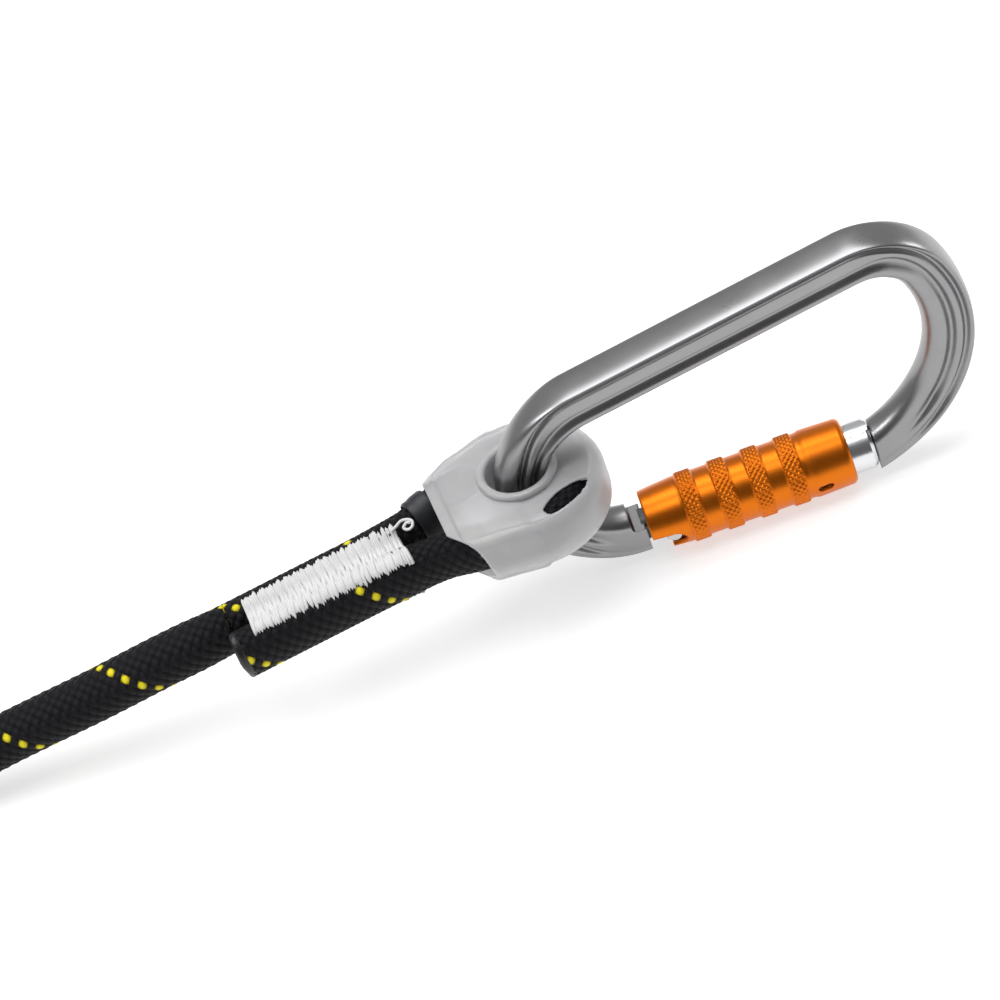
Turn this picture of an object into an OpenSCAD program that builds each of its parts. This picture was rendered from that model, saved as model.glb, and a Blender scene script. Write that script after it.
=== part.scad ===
// Rope end with a sewn eye, a moulded thimble and a triple-action carabiner.
// The origin is on the ground under the middle of the object without its free
// rope, +X runs along the gate to the nose, +Z is up, and the rope leaves
// towards -X. Everything is drawn from the thimble's hole and moved once.

/* [Rope] */
// Rope diameter
rope_d = 12; // [11:0.5:12]
// Width of a leg squeezed by the stitching
leg_w = 9.3; // [9:0.1:10]
// Height of a leg squeezed by the stitching
leg_h = 12.8; // [12:0.1:14]
// Turn of the eye away from the carabiner's plane, in degrees
eye_turn = 6; // [4:0.5:8]
// Downward slope of the sewn section, in degrees
leg_slope = 4.5; // [3:0.5:5]
// Length of the bar-tack stitching
tack_l = 39; // [34:1:40]
// Width of the bar-tack stitching
tack_w = 11; // [9:0.5:12]

/* [Thimble] */
// Diameter of the hole for the carabiner
hole_d = 15; // [15:0.1:15.4]
// Height of the thimble
thimble_h = 14.4; // [14.2:0.2:14.8]
// Wall of the moulded cover
cover_t = 1; // [0.9:0.1:1.2]
// Wall of the hub round the hole
hub_t = 1; // [0.9:0.1:1.1]

/* [Carabiner] */
// Radius of the narrow bend, to the middle of the bar
narrow_r = 22; // [22:0.2:22.6]
// Radius of the tight bend at the top of the wide end
crown_r = 14.8; // [14.6:0.1:15]
// Radius of the long bend down to the nose
wide_r = 36; // [36:0.1:36.4]
// Straight length of the spine
spine_l = 66.6; // [66:0.2:67]
// Tilt of the spine against the gate, in degrees
spine_tilt = 10.8; // [10.6:0.1:11]
// Height of the bar's section, in the carabiner's plane
bar_h = 11.4; // [11:0.2:11.6]
// Thickness of the bar's section
bar_t = 9; // [8.6:0.2:9.2]

/* [Gate and sleeve] */
// Diameter of the gate body
gate_d = 12; // [11.8:0.1:12]
// Diameter of the sleeve over its knurled bands
sleeve_d = 16.6; // [16.4:0.1:17]
// Length of the sleeve
sleeve_l = 48.7; // [48:0.1:49]
// Diameter of the hinge rivet's shank
rivet_d = 3.2; // [3:0.1:3.4]
// Diameter of the hinge rivet's heads
rivet_head_d = 4; // [3.8:0.1:4]

/* [Hank] */
// Straight length of the hank's runs
hank_straight = 100; // [90:5:110]
// Radius of the hank's inner folds, to the middle of the rope
hank_fold_r = 36; // [36:1:38]

/* [Hidden] */
$fn = 48;

// middle of the object without its free rope, seen from the thimble's hole
centre_x = 17.07;
centre_y = -0.67;
module placed() translate([-centre_x, -centre_y, 0]) children();

axis_z = sleeve_d / 2;              // gate axis above the ground
hole_in = 0.6;                      // hole centre inside the bend's leftmost bar centre
bend_x = narrow_r - hole_in;        // centre of the narrow bend
bend_z = axis_z + narrow_r;
eye_z = bend_z;                     // middle height of the eye

// places along the gate, from the hole's axis
rivet_x = 28.7;
rivet_z = axis_z - 2;
sleeve_x = 23.5;
gate_end_x = 77.9;
nose_gap = 0.35;
pin_x = 64.6;
tang_r = 5.2;
tang_low_r = 3.3;
rivet_seat_y = 4.9;
tang_t = 5;
fork_gap = 5.5;
shoulder_x = 22.9;
pocket_x = 19.6;
gate_tine_r = 4.3;
hinge_bore_r = 6.6;                // the sleeve's room over the rivet heads
slot_end_x = rivet_x + 6.3;
sleeve_bore_r = gate_d / 2 + 0.05;
sleeve_pocket_r = gate_d / 2 + 1.15;
spring_wire = 0.7;

// ---------------------------------------------------------------- helpers

// Points of the bar's section with rounded corners, h across the bar in its
// plane and t along its thickness. Neighbouring stretches overlap a little and
// differ a little in size, as the forging does.
function arc_points(cx, cy, r, a0, a1, n) =
    [for (i = [0:n]) let (a = a0 + (a1 - a0) * i / n) [cx + r * cos(a), cy + r * sin(a)]];
bar_round = 2.9;
function bar_section(h, t) = let (a = h / 2 - bar_round, b = t / 2 - bar_round)
    concat(
        arc_points(a, b, bar_round, 0, 90, 5), arc_points(-a, b, bar_round, 90, 180, 5),
        arc_points(-a, -b, bar_round, 180, 270, 5), arc_points(a, -b, bar_round, 270, 360, 5));

// A bend of the bar in the XZ plane, from angle a0 to a1 about its centre.
module bend(cx, cz, r, a0, a1, h, t)
    translate([cx, 0, cz]) rotate([90, 0, 0]) rotate([0, 0, a0])
        rotate_extrude(angle = a1 - a0, $fn = 96)
            translate([r, 0]) polygon(bar_section(h, t));

// A swept closed tube. path is a list of centres, dirs the unit directions,
// sizes a list of [half width, half height] across the direction.
function unit(v) = v / norm(v);
function ring_points(c, d, s, n) = let (side = unit(cross(d, [0, 0, 1])), up = cross(side, d))
    [for (i = [0:n - 1]) let (a = 360 * (i + 0.5) / n) c + side * s[0] * cos(a) + up * s[1] * sin(a)];
module sweep(path, dirs, sizes, n) {
    m = len(path);
    points = [for (k = [0:m - 1]) each ring_points(path[k], dirs[k], sizes[k], n)];
    sides = [for (k = [0:m - 2], i = [0:n - 1]) let (j = (i + 1) % n)
        each [[k * n + i, k * n + j, (k + 1) * n + j], [k * n + i, (k + 1) * n + j, (k + 1) * n + i]]];
    first = [for (i = [1:n - 2]) [0, i + 1, i]];
    last = [for (i = [1:n - 2]) [(m - 1) * n, (m - 1) * n + i, (m - 1) * n + i + 1]];
    polyhedron(points = points, faces = concat(sides, first, last));
}
// Directions at the points of a route, from the neighbours on each side
function route_dirs(p) = [for (i = [0:len(p) - 1])
    unit(p[min(i + 1, len(p) - 1)] - p[max(i - 1, 0)])];
// A smooth curve through a route's points, with n steps between two of them
function spline_point(a, b, c, d, t) =
    0.5 * ((2 * b) + (c - a) * t + (2 * a - 5 * b + 4 * c - d) * t * t
        + (3 * b - a - 3 * c + d) * t * t * t);
function smooth(p, n) = concat([for (i = [0:len(p) - 2], k = [0:n - 1])
    spline_point(p[max(i - 1, 0)], p[i], p[i + 1], p[min(i + 2, len(p) - 1)], k / n)],
    [p[len(p) - 1]]);

module along_gate(x) translate([x, 0, axis_z]) rotate([0, 90, 0]) children();

// ---------------------------------------------------------------- carabiner

crown_start = [bend_x + narrow_r * cos(90 + spine_tilt) + spine_l * cos(spine_tilt),
               bend_z + narrow_r * sin(90 + spine_tilt) + spine_l * sin(spine_tilt)];
crown_c = crown_start + crown_r * [sin(spine_tilt), -cos(spine_tilt)];
crown_turn = 78.7;
wide_a0 = 90 + spine_tilt - crown_turn;
wide_c = crown_c - (wide_r - crown_r) * [cos(wide_a0), sin(wide_a0)];
nose_x = gate_end_x + nose_gap;
tongue_len = 3.3;

module carabiner_frame() color("#8e9094") placed() {
    difference() {
        union() {
            bend(bend_x, bend_z, narrow_r, 90 + spine_tilt, 270, bar_h - 0.2, bar_t - 0.2);
            translate([bend_x, 0, bend_z]) rotate([0, -spine_tilt, 0])
                translate([-1, 0, narrow_r]) rotate([90, 0, 90]) linear_extrude(spine_l + 2)
                    rotate([0, 0, 90]) polygon(bar_section(bar_h + 0.4, bar_t));
            bend(crown_c[0], crown_c[1], crown_r, wide_a0, 90 + spine_tilt, bar_h - 0.2, bar_t - 0.2);
            difference() {
                bend(wide_c[0], wide_c[1], wide_r, -75, wide_a0 + 2, bar_h, bar_t);
                translate([nose_x - 20, -10, -5]) cube([20, 20, 30]);
            }
            // straight stub from the bend to the shoulder
            translate([bend_x - 1, 0, axis_z]) rotate([90, 0, 90])
                linear_extrude(shoulder_x - bend_x + 1) rotate([0, 0, 90])
                    polygon(bar_section(bar_h, bar_t));
            // tang that the gate hinges on
            translate([rivet_x, tang_t / 2, rivet_z]) rotate([90, 0, 0]) {
                cylinder(r = tang_low_r, h = tang_t);
                intersection() {
                    cylinder(r = tang_r, h = tang_t);
                    translate([-tang_r, 0, -1]) cube([2 * tang_r, tang_r, tang_t + 2]);
                }
            }
            translate([shoulder_x - 4, -tang_t / 2, rivet_z - 2.9])
                cube([rivet_x - shoulder_x + 4, tang_t, 6.9]);
            // tongue of the key-shaped nose
            translate([nose_x - tongue_len, 0, axis_z - 4]) {
                cylinder(r = 2.2, h = 8);
                translate([0, -1.2, 0]) cube([tongue_len + 1, 2.4, 8]);
            }
        }
        // pocket on the inner side that the sleeve's rim swings into
        translate([pocket_x, -8, axis_z + 2.1]) cube([9, 16, 12]);
        // bore for the rivet
        translate([rivet_x, 8, rivet_z]) rotate([90, 0, 0]) cylinder(d = rivet_d + 0.02, h = 16);
    }
}

module hinge_rivet() color("#c9cbce") placed() translate([rivet_x, 0, rivet_z]) rotate([90, 0, 0]) {
    translate([0, 0, -rivet_seat_y]) cylinder(d = rivet_d, h = 2 * rivet_seat_y);
    for (s = [0, 1]) mirror([0, 0, s]) translate([0, 0, rivet_seat_y])
        cylinder(d1 = rivet_head_d, d2 = 3, h = 0.6);
}

// ---------------------------------------------------------------- gate

gate_front_x = rivet_x + 1.6;
bore_end_x = 58;
module gate_body() color("#d8dadc") placed() difference() {
    union() {
        along_gate(gate_front_x) cylinder(d = gate_d, h = gate_end_x - gate_front_x);
        // two tines that carry the rivet
        intersection() {
            along_gate(rivet_x - 8) cylinder(d = gate_d - 0.8, h = 16);
            translate([rivet_x, 8, rivet_z]) rotate([90, 0, 0]) cylinder(r = gate_tine_r, h = 16);
        }
    }
    // fork gap
    translate([rivet_x - 8, -fork_gap / 2, -2]) cube([slot_end_x - rivet_x + 8, fork_gap, 22]);
    // the upper front edge is rounded so that it swings clear of the frame
    translate([gate_front_x - 1, -8, axis_z + 5.2]) cube([2.2, 16, 6]);
    // rivet bore and the flats under its heads
    translate([rivet_x, 8, rivet_z]) rotate([90, 0, 0]) cylinder(d = rivet_d + 0.08, h = 16);
    for (s = [-1, 1]) translate([rivet_x - 8, s > 0 ? rivet_seat_y : -9.3 - 0.6, rivet_z - 4.4])
        cube([11.2, 9.9 - rivet_seat_y, 7.6]);
    // spring bore
    along_gate(slot_end_x - 0.1) cylinder(d = 5, h = bore_end_x - slot_end_x);
    // hole of the guide pin
    translate([pin_x, 0, axis_z]) rotate([90 + 9, 0, 0]) cylinder(d = 1.6, h = 10);
    // key-shaped slot that slides over the nose's tongue
    translate([nose_x - tongue_len, 0, -3]) {
        cylinder(r = 2.2 + 0.4, h = 24);
        translate([0, -1.6, 0]) cube([tongue_len + 3, 3.2, 24]);
    }
    // outer edge of the end face
    along_gate(gate_end_x - 0.8) difference() {
        cylinder(r = gate_d, h = 2);
        cylinder(r1 = gate_d / 2, r2 = gate_d / 2 - 1.2, h = 1.2);
    }
}

// A round wire coil whose axis is Z, as stacked rings joined by a thin strip
module coil_rings(mean_r, wire, length, turns) {
    pitch = (length - wire) / (turns - 1);
    for (i = [0:turns - 1]) translate([0, 0, wire / 2 + i * pitch])
        rotate_extrude($fn = 40) translate([mean_r, 0]) circle(d = wire, $fn = 16);
    translate([mean_r - wire * 0.3, -wire * 0.2, wire / 2]) cube([wire * 0.5, wire * 0.4, length - wire]);
}

plunger_x = rivet_x + tang_r + 0.25;
plunger_l = 9;
module gate_plunger() color("#9a9a96") placed() along_gate(plunger_x + 0.9) {
    cylinder(d = 4.6, h = plunger_l - 2);
    translate([0, 0, 0]) mirror([0, 0, 1]) cylinder(d1 = 4.6, d2 = 2.4, h = 0.9);
}
module gate_spring() color("#b8babd") placed()
    along_gate(plunger_x + plunger_l - 1.1) coil_rings(1.95, 0.6, bore_end_x - plunger_x - plunger_l, 11);
module guide_pin() color("#b8babd") placed() translate([pin_x, 0, axis_z]) rotate([90 + 9, 0, 0])
    translate([0, 0, 2.8]) cylinder(d = 1.6, h = gate_d / 2 - 2.8 + 0.9);

// ---------------------------------------------------------------- sleeve

sleeve_end_x = sleeve_x + sleeve_l;
bush_x = 67.2;
bush_l = 3.6;
bush_r = gate_d / 2 + 0.85;
ring_t = 0.8;
band_pitch = 8;
band_w = 4.3;
band_first = 9;
groove_r = sleeve_d / 2 - 0.55;

module slide_bush() color("#5c5e62") placed() along_gate(bush_x) difference() {
    cylinder(r = bush_r, h = bush_l);
    translate([0, 0, -1]) cylinder(r = sleeve_bore_r, h = bush_l + 2);
}
module retaining_ring() color("#a7a9ac") placed() along_gate(bush_x - ring_t) difference() {
    cylinder(r = bush_r + 0.1, h = ring_t);
    translate([0, 0, -1]) cylinder(r = sleeve_bore_r + 0.15, h = ring_t + 2);
    translate([0, -1, -1]) cube([12, 2, ring_t + 2]);
}

module locking_sleeve() color("#e0761c") placed() difference() {
    union() {
        // plain tapered hinge end
        along_gate(sleeve_x) cylinder(r1 = 7.05, r2 = 7.45, h = 3.5);
        along_gate(sleeve_x + 3.5) cylinder(r1 = 7.45, r2 = 7.9, h = band_first - 3.5);
        along_gate(sleeve_x + band_first) cylinder(r = groove_r, h = 4 * band_pitch - 4);
        for (i = [0:3]) along_gate(sleeve_x + band_first + i * band_pitch)
            cylinder(r = sleeve_d / 2, h = band_w);
        // plain nose end
        along_gate(sleeve_x + band_first + 3 * band_pitch + band_w)
            cylinder(r1 = sleeve_d / 2, r2 = 7.8, h = sleeve_l - band_first - 3 * band_pitch - band_w - 1);
        along_gate(sleeve_end_x - 1) cylinder(r1 = 7.8, r2 = 7.1, h = 1);
    }
    // bore: wide over the rivet heads, a fit on the gate, then wide for the spring
    along_gate(sleeve_x - 1) cylinder(r = sleeve_bore_r, h = sleeve_l + 2);
    along_gate(sleeve_x - 1) cylinder(r = hinge_bore_r, h = band_first + 0.2);
    along_gate(sleeve_x + band_first + 2) cylinder(r = sleeve_pocket_r, h = 43.7 - band_first - 2);
    along_gate(bush_x - ring_t - 0.1) cylinder(r = bush_r + 0.05, h = bush_l + ring_t + 0.2);
    // round notches that show the rivet heads, and the open outer side between them
    for (side = [-1, 1]) hull() for (x = [-4, 4.9])
        translate([sleeve_x + x, side * 9, axis_z - 2.4]) rotate([90, 0, 0])
            translate([0, 0, -4.5]) cylinder(r = 2.9, h = 9, $fn = 32);
    translate([sleeve_x - 1, -9, axis_z - 10]) cube([5.2, 18, 6]);
    // oblong hole over the guide pin
    translate([pin_x, 0, axis_z]) rotate([90 + 9, 0, 0]) hull() for (x = [-0.95, 0.95])
        translate([x, 0, 5]) cylinder(d = 1.9, h = 6, $fn = 32);
}

module sleeve_spring() color("#b8babd") placed()
    along_gate(sleeve_x + band_first + 3.2)
        coil_rings(gate_d / 2 + 0.15 + spring_wire / 2 + 0.1, spring_wire, 24, 11);

// ---------------------------------------------------------------- rope eye

hub_r = hole_d / 2 + hub_t;
eye_w = 8.2;                       // rope squeezed against the hub
eye_h = thimble_h - 2 * cover_t - 0.3;
loop_r = hub_r + 0.1 + eye_w / 2;
leg_main_y = 2.2;
leg_tail_y = leg_main_y - leg_w - 0.1;
slope_from = -22;
main_join = -23;
tail_join = -17;
leg_end = -72;
tail_end = -73.5;
function fall(x) = x < slope_from ? (x - slope_from) * tan(leg_slope) : 0;
function eye_to_part(p) = [p[0] * cos(eye_turn) - p[1] * sin(eye_turn),
                           p[0] * sin(eye_turn) + p[1] * cos(eye_turn), eye_z + p[2]];

// Middle line of the rope round the hub, from the running side to the tail side
eye_route = concat(
    [[main_join, 5.0, fall(main_join)], [-17, 7.7, 0], [-11, 10.2, 0]],
    [for (a = [108:-18:-108]) [loop_r * cos(a), loop_r * sin(a), 0]],
    [[-11, -11.2, 0], [tail_join, -9.9, 0]]);
main_route = [[main_join, 5.0, fall(main_join)], [-27, 3.6, fall(-27)], [-32, 2.6, fall(-32)],
    [-40, leg_main_y, fall(-40)], [-50, leg_main_y, fall(-50)], [-60, leg_main_y, fall(-60)],
    [-68, leg_main_y, fall(-68)], [leg_end, leg_main_y, fall(leg_end)]];
tail_route = [[tail_join, -9.9, 0], [-22, -8.6, 0], [-27, -7.8, fall(-27)],
    [-32, -7.3, fall(-32)], [-40, leg_tail_y, fall(-40)], [-52, leg_tail_y, fall(-52)],
    [-64, leg_tail_y, fall(-64)], [tail_end + 1.2, leg_tail_y, fall(tail_end)]];
function part_route(r) = [for (p = r) eye_to_part(p)];
function leg_size(x) = x > -30 ? [(leg_w - 0.5) / 2, leg_h / 2 - 0.4] : [leg_w / 2, leg_h / 2];
eye_dirs = route_dirs(part_route(eye_route));
join_main_dir = eye_dirs[0];
join_tail_dir = eye_dirs[len(eye_dirs) - 1];

module eye_frame() translate([0, 0, eye_z]) rotate([0, 0, eye_turn]) children();
module leg_frame() eye_frame() translate([slope_from, 0, 0]) rotate([0, -leg_slope, 0])
    translate([-slope_from, 0, 0]) children();

module rope_eye() color("#1c1d20") placed()
    sweep(part_route(eye_route), eye_dirs, [for (p = eye_route) [eye_w / 2, eye_h / 2]], 16);
module running_leg() color("#1c1d20") placed() {
    route = part_route(main_route);
    dirs = concat([join_main_dir * -1], [for (i = [1:len(route) - 1]) route_dirs(route)[i]]);
    sizes = [for (p = main_route) p[0] > main_join - 0.1 ? [eye_w / 2, eye_h / 2]
        : leg_size(p[0])];
    sweep(route, dirs, sizes, 16);
}
module tail_leg() color("#1c1d20") placed() {
    route = part_route(tail_route);
    dirs = concat([join_tail_dir], [for (i = [1:len(route) - 1]) route_dirs(route)[i]]);
    sizes = [for (p = tail_route) p[0] > tail_join - 0.1 ? [eye_w / 2, eye_h / 2] : leg_size(p[0])];
    sweep(route, dirs, sizes, 16);
}
module tail_end_seal() color("#101113") placed() {
    last = part_route([[tail_end + 1.2, leg_tail_y, fall(tail_end)]])[0];
    dir = route_dirs(part_route(tail_route))[len(tail_route) - 1];
    sweep([last, last + dir * 0.9, last + dir * 1.7], [dir, dir, dir],
        [[leg_w / 2, leg_h / 2], [leg_w / 2 - 0.3, leg_h / 2 - 0.3], [leg_w / 2 - 1.4, leg_h / 2 - 1.4]], 16);
}

module shrink_band() color("#26272b") placed() {
    route = part_route([[-21.3, 5.76, 0], [-23, 5, fall(-23)], [-25.6, 4.09, fall(-25.6)]]);
    dirs = route_dirs(route);
    difference() {
        sweep(route, dirs, [for (i = [0:2]) [leg_w / 2 + 0.6, leg_h / 2 + 0.5]], 16);
        sweep([route[0] - dirs[0], route[1], route[2] + dirs[2]], dirs,
            [for (i = [0:2]) [leg_w / 2 + 0.05, leg_h / 2]], 16);
    }
}

tack_x = -30;                      // end of the stitching next to the thimble
tack_y = -4.55;                    // it lies across both legs
thread_t = 0.4;
// Thread lying on both legs and across the valley between them
module stitching(z0, z1) difference() {
    intersection() {
        leg_frame() translate([tack_x - tack_l, tack_y - tack_w / 2, z0])
            cube([tack_l, tack_w, z1 - z0]);
        union() {
            leg_solid(leg_main_y, thread_t);
            leg_solid(leg_tail_y, thread_t);
        }
    }
    leg_solid(leg_main_y, 0);
    leg_solid(leg_tail_y, 0);
}
module stitching_front() color("#f2f2f0") placed() stitching(1.7, leg_h);
module stitching_back() color("#f2f2f0") placed() stitching(-leg_h, -1.7);
// Room that a leg takes up under the stitching, a little wider than the leg
module leg_solid(y, grow) {
    route = part_route([for (x = [-22, -31, -36, -41, -72]) [x, y + (x > -40 ? (x + 40) * 0.045 : 0) *
        (y > 0 ? 1 : -0.3), fall(x)]]);
    sweep(route, route_dirs(route),
        [for (p = route) [leg_w / 2 + 0.12 + grow, leg_h / 2 + 0.05 + grow]], 16);
}
module thread_end() color("#f2f2f0") placed() {
    route = part_route([[-30.2, 0.4, 6.2], [-28.4, 0.2, 7.2], [-26.4, -0.6, 7.6], [-26.8, -2.6, 7.4],
        [-28.6, -2, 7]]);
    sweep(route, route_dirs(route), [for (p = route) [0.3, 0.3]], 8);
}

// ---------------------------------------------------------------- thimble

cover_r = loop_r + eye_w / 2 + 0.15 + cover_t;
cover_round = 3.4;
socket_fit = 0.5;
// A disc with round edges, lying flat
module soft_disc(r, h, edge) rotate_extrude($fn = 40) {
    translate([0, -h / 2]) square([r - edge, h]);
    translate([0, -h / 2 + edge]) square([r, h - 2 * edge]);
    for (s = [-1, 1]) translate([r - edge, s * (h / 2 - edge)]) circle(r = edge, $fn = 20);
}
// An oval socket round one leg, open towards the rope
module socket(x, y, grow, length) translate([x, y, fall(x)]) rotate([0, -90, 0])
    linear_extrude(length) scale([(eye_h + 0.2 + 2 * grow) / (eye_w + 2 * socket_fit + 2 * grow), 1])
        circle(d = eye_w + 2 * socket_fit + 2 * grow, $fn = 32);
module cover_body(grow, reach) hull() {
    for (at = [[0, 0, 0], [0.6, -0.8, 0]]) translate(at)
        soft_disc(cover_r - cover_t + grow, thimble_h - 2 * cover_t + 2 * grow, cover_round);
    socket(-12, 9.9, grow, 0.2);
    socket(-20.4, 6.1, grow, reach);
    socket(-14.5, -11.6, grow, 0.2);
    socket(-20.4, -9.2, grow, reach);
}
module thimble_cover() color("#dfe3e8", 0.7) placed() eye_frame() difference() {
    cover_body(cover_t, 0.2);
    cover_body(0, 1.4);
    // hole for the hub
    translate([0, 0, -20]) cylinder(r = hub_r + 0.05, h = 40);
    // the mouth is cut back at an angle on the tail side
    translate([-20.7, -9.3, -20]) rotate([0, 0, -54.6]) translate([-12, -20, 0]) cube([40, 20, 40]);
    // leaf-shaped windows above and below
    for (s = [-1, 1]) translate([5.6, -12.4, s > 0 ? 4 : -14]) rotate([0, 0, 20]) linear_extrude(10)
        intersection() {
            translate([0, -5.5]) circle(r = 8.2);
            translate([0, 5.5]) circle(r = 8.2);
        }
}
collar_h = 0.9;
module thimble_hub() color("#e6e9ed", 0.7) placed() eye_frame() difference() {
    union() {
        translate([0, 0, -thimble_h / 2 - collar_h]) cylinder(r = hub_r, h = thimble_h + 2 * collar_h);
        for (s = [-1, 1]) translate([0, 0, s * (thimble_h / 2 + collar_h / 2 + 0.05) - collar_h / 2])
            cylinder(r = hub_r + 1, h = collar_h);
    }
    translate([0, 0, -20]) cylinder(d = hole_d, h = 40);
    for (s = [-1, 1]) translate([0, 0, s * (thimble_h / 2 + collar_h + 0.05)])
        rotate_extrude() translate([hole_d / 2, 0]) circle(r = 0.6, $fn = 20);
}

// ---------------------------------------------------------------- free rope

hank_z = 1.2 + rope_d / 2;          // lower layer, held off the ground by the ties
exit_point = eye_to_part([leg_end, leg_main_y, fall(leg_end)]);
free_route = [exit_point, [-78, -5.7, 25.6], [-90, -5.6, 23.6], [-107, -4.8, 19.6],
    [-120, -4.2, 17], [-133, -3.4, 14], [-147, -3.6, 10.9], [-161, -5.2, 8.6],
    [-176, -7.6, 7.4], [-191, -10, 7.2], [-206, -11.5, 7.2], [-220, -12, 7.2]];
hank_lane_y = -12;
hank_x = -220;                      // where the runs begin
hank_outer_r = hank_fold_r + rope_d;
hank_y = hank_lane_y + hank_outer_r;
hank_far_x = hank_x - hank_straight;

module free_rope() color("#1c1d20") placed() {
    route = smooth(free_route, 2);
    dirs = route_dirs(route);
    start_dir = route_dirs(part_route(main_route))[len(main_route) - 1];
    sweep(route, [for (i = [0:len(dirs) - 1]) i == 0 ? start_dir : dirs[i]],
        [for (i = [0:len(route) - 1]) i < 2 ? [leg_w / 2, leg_h / 2] : [rope_d / 2, rope_d / 2]], 16);
}
module race(r, x0, x1) {
    for (x = [x0, x1]) translate([x, hank_y]) circle(r = r, $fn = 64);
    translate([x1, hank_y - r]) square([x0 - x1, 2 * r]);
}
module rope_hank() color("#1c1d20") placed() translate([0, 0, hank_z - rope_d / 2]) difference() {
    linear_extrude(2 * rope_d) difference() {
        race(hank_outer_r + rope_d / 2, hank_x, hank_far_x);
        race(hank_fold_r - rope_d / 2, hank_x, hank_far_x);
    }
    // the incoming rope meets the hank here
    translate([hank_x - 0.01, hank_lane_y - 7, -1]) cube([60, 17, 13.4]);
    // the last run and its end sleeve lie on the lower turn here
    translate([last_x - 1, hank_y + hank_fold_r + rope_d / 2 - 0.6, rope_d])
        cube([80, 20, rope_d + 1]);
}
tie_w = 14;
tie_t = 1.1;
module hank_tie(y) translate([hank_x - hank_straight / 2 - tie_w / 2, y, 0]) difference() {
    translate([0, -rope_d - tie_t, 0]) cube([tie_w, 2 * (rope_d + tie_t), 2 * rope_d + 2 * tie_t + 0.1]);
    translate([-1, -rope_d - 0.02, tie_t + 0.08]) cube([tie_w + 2, 2 * rope_d + 0.04, 2 * rope_d + 0.04]);
}
module hank_ties() color("#3b3d42") placed() {
    hank_tie(hank_y - hank_fold_r - rope_d / 2);
    hank_tie(hank_y + hank_fold_r + rope_d / 2);
}
last_x = -256;                      // the last run leaves the upper turn here
last_l = 10;
end_l = 24;
end_lift = 1.6;                     // the end stands clear of the lower turn
module last_lane() translate([last_x, hank_y + hank_outer_r, hank_z + rope_d]) rotate([0, 90, 0]) children();
module rope_last_run() color("#1c1d20") placed()
    last_lane() translate([0, 0, -2]) cylinder(d = rope_d, h = last_l + 2);
module rope_end_sleeve() color("#2b2c30") placed()
    last_lane() translate([-end_lift, 0.8, last_l]) cylinder(d = rope_d + 0.8, h = end_l);

carabiner_frame();
hinge_rivet();
gate_body();
gate_spring();
gate_plunger();
guide_pin();
slide_bush();
retaining_ring();
locking_sleeve();
sleeve_spring();
thimble_cover();
thimble_hub();
rope_eye();
running_leg();
tail_leg();
tail_end_seal();
shrink_band();
stitching_front();
stitching_back();
thread_end();
free_rope();
rope_hank();
hank_ties();
rope_last_run();
rope_end_sleeve();
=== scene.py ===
"""Looks of a rope end with a sewn eye, a moulded thimble and a triple-action carabiner.

Shapes are worked out in millimetres from the axis of the thimble's hole, as the part's source
does, and moved to the row frame, in metres, when a mesh is made.
"""
from math import ceil, cos, pi, radians, sin, sqrt, tan

import bpy
import numpy as np
from mathutils import Matrix, Vector


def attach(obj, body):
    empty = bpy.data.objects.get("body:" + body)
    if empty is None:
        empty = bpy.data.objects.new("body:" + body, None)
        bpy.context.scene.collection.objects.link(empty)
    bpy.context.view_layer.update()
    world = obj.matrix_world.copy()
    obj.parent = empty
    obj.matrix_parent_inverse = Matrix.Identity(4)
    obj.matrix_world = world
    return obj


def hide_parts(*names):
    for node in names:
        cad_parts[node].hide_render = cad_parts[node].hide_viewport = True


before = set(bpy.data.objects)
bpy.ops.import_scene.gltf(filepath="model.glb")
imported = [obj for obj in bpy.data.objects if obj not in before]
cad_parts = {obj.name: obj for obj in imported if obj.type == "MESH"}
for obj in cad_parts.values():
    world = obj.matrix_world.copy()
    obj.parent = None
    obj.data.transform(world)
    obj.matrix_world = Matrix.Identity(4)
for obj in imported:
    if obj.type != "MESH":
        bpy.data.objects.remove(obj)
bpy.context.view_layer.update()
rng = np.random.default_rng(7)

# ---- dimensions, mm

CENTRE = np.array([17.07, -0.67, 0.0])
AXIS_Z = 8.3
NARROW_R, SPINE_L, TILT = 22.0, 66.6, 10.8
CROWN_R, CROWN_TURN, WIDE_R = 14.8, 78.7, 36.0
BAR_H, BAR_T = 11.4, 9.0
BEND_X, BEND_Z = 21.4, 30.3
SHOULDER_X, POCKET_X, POCKET_DEPTH = 22.9, 19.6, 2.1
RIVET_X, RIVET_Z = 28.7, AXIS_Z - 2
NOSE_X, GATE_END_X, GATE_R = 78.25, 77.9, 6.0
SLEEVE_X, SLEEVE_L = 23.5, 48.7
SLEEVE_R, GROOVE_R = 8.3, 7.75
BAND_FIRST, BAND_PITCH, BAND_W, BAND_END = 9.0, 8.0, 4.3, 37.3
KNURL_N, KNURL_PER_MM, KNURL_DEPTH = 36, 0.69, 0.32
KNURL_PER_RADIAN = KNURL_N / (2 * np.pi)
PIN_X = 64.6
TONGUE_R, TONGUE_NECK, KEY_GAP = 2.2, 1.2, 0.32
TONGUE_X = NOSE_X - 3.3

ROPE_R = 6.0
STRANDS, PITCH, TRACER = 12, 31.4, 4
BRAID_SIDES, BRAID_RELIEF = 120, 0.26
SKIN_IN = 0.1               # how far the braid's middle lies inside the CAD rope's skin
LEG = (4.65, 6.4)
EYE = (4.1, 6.05)
EYE_Z, EYE_TURN, SLOPE, SLOPE_FROM = 30.3, 6.0, 4.5, -22.0
LOOP_R, HUB_R, HOLE_R = 12.7, 8.5, 7.5
MAIN_Y, TAIL_Y = 2.2, -7.2
LEG_END, TAIL_END = -72.0, -72.3

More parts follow.
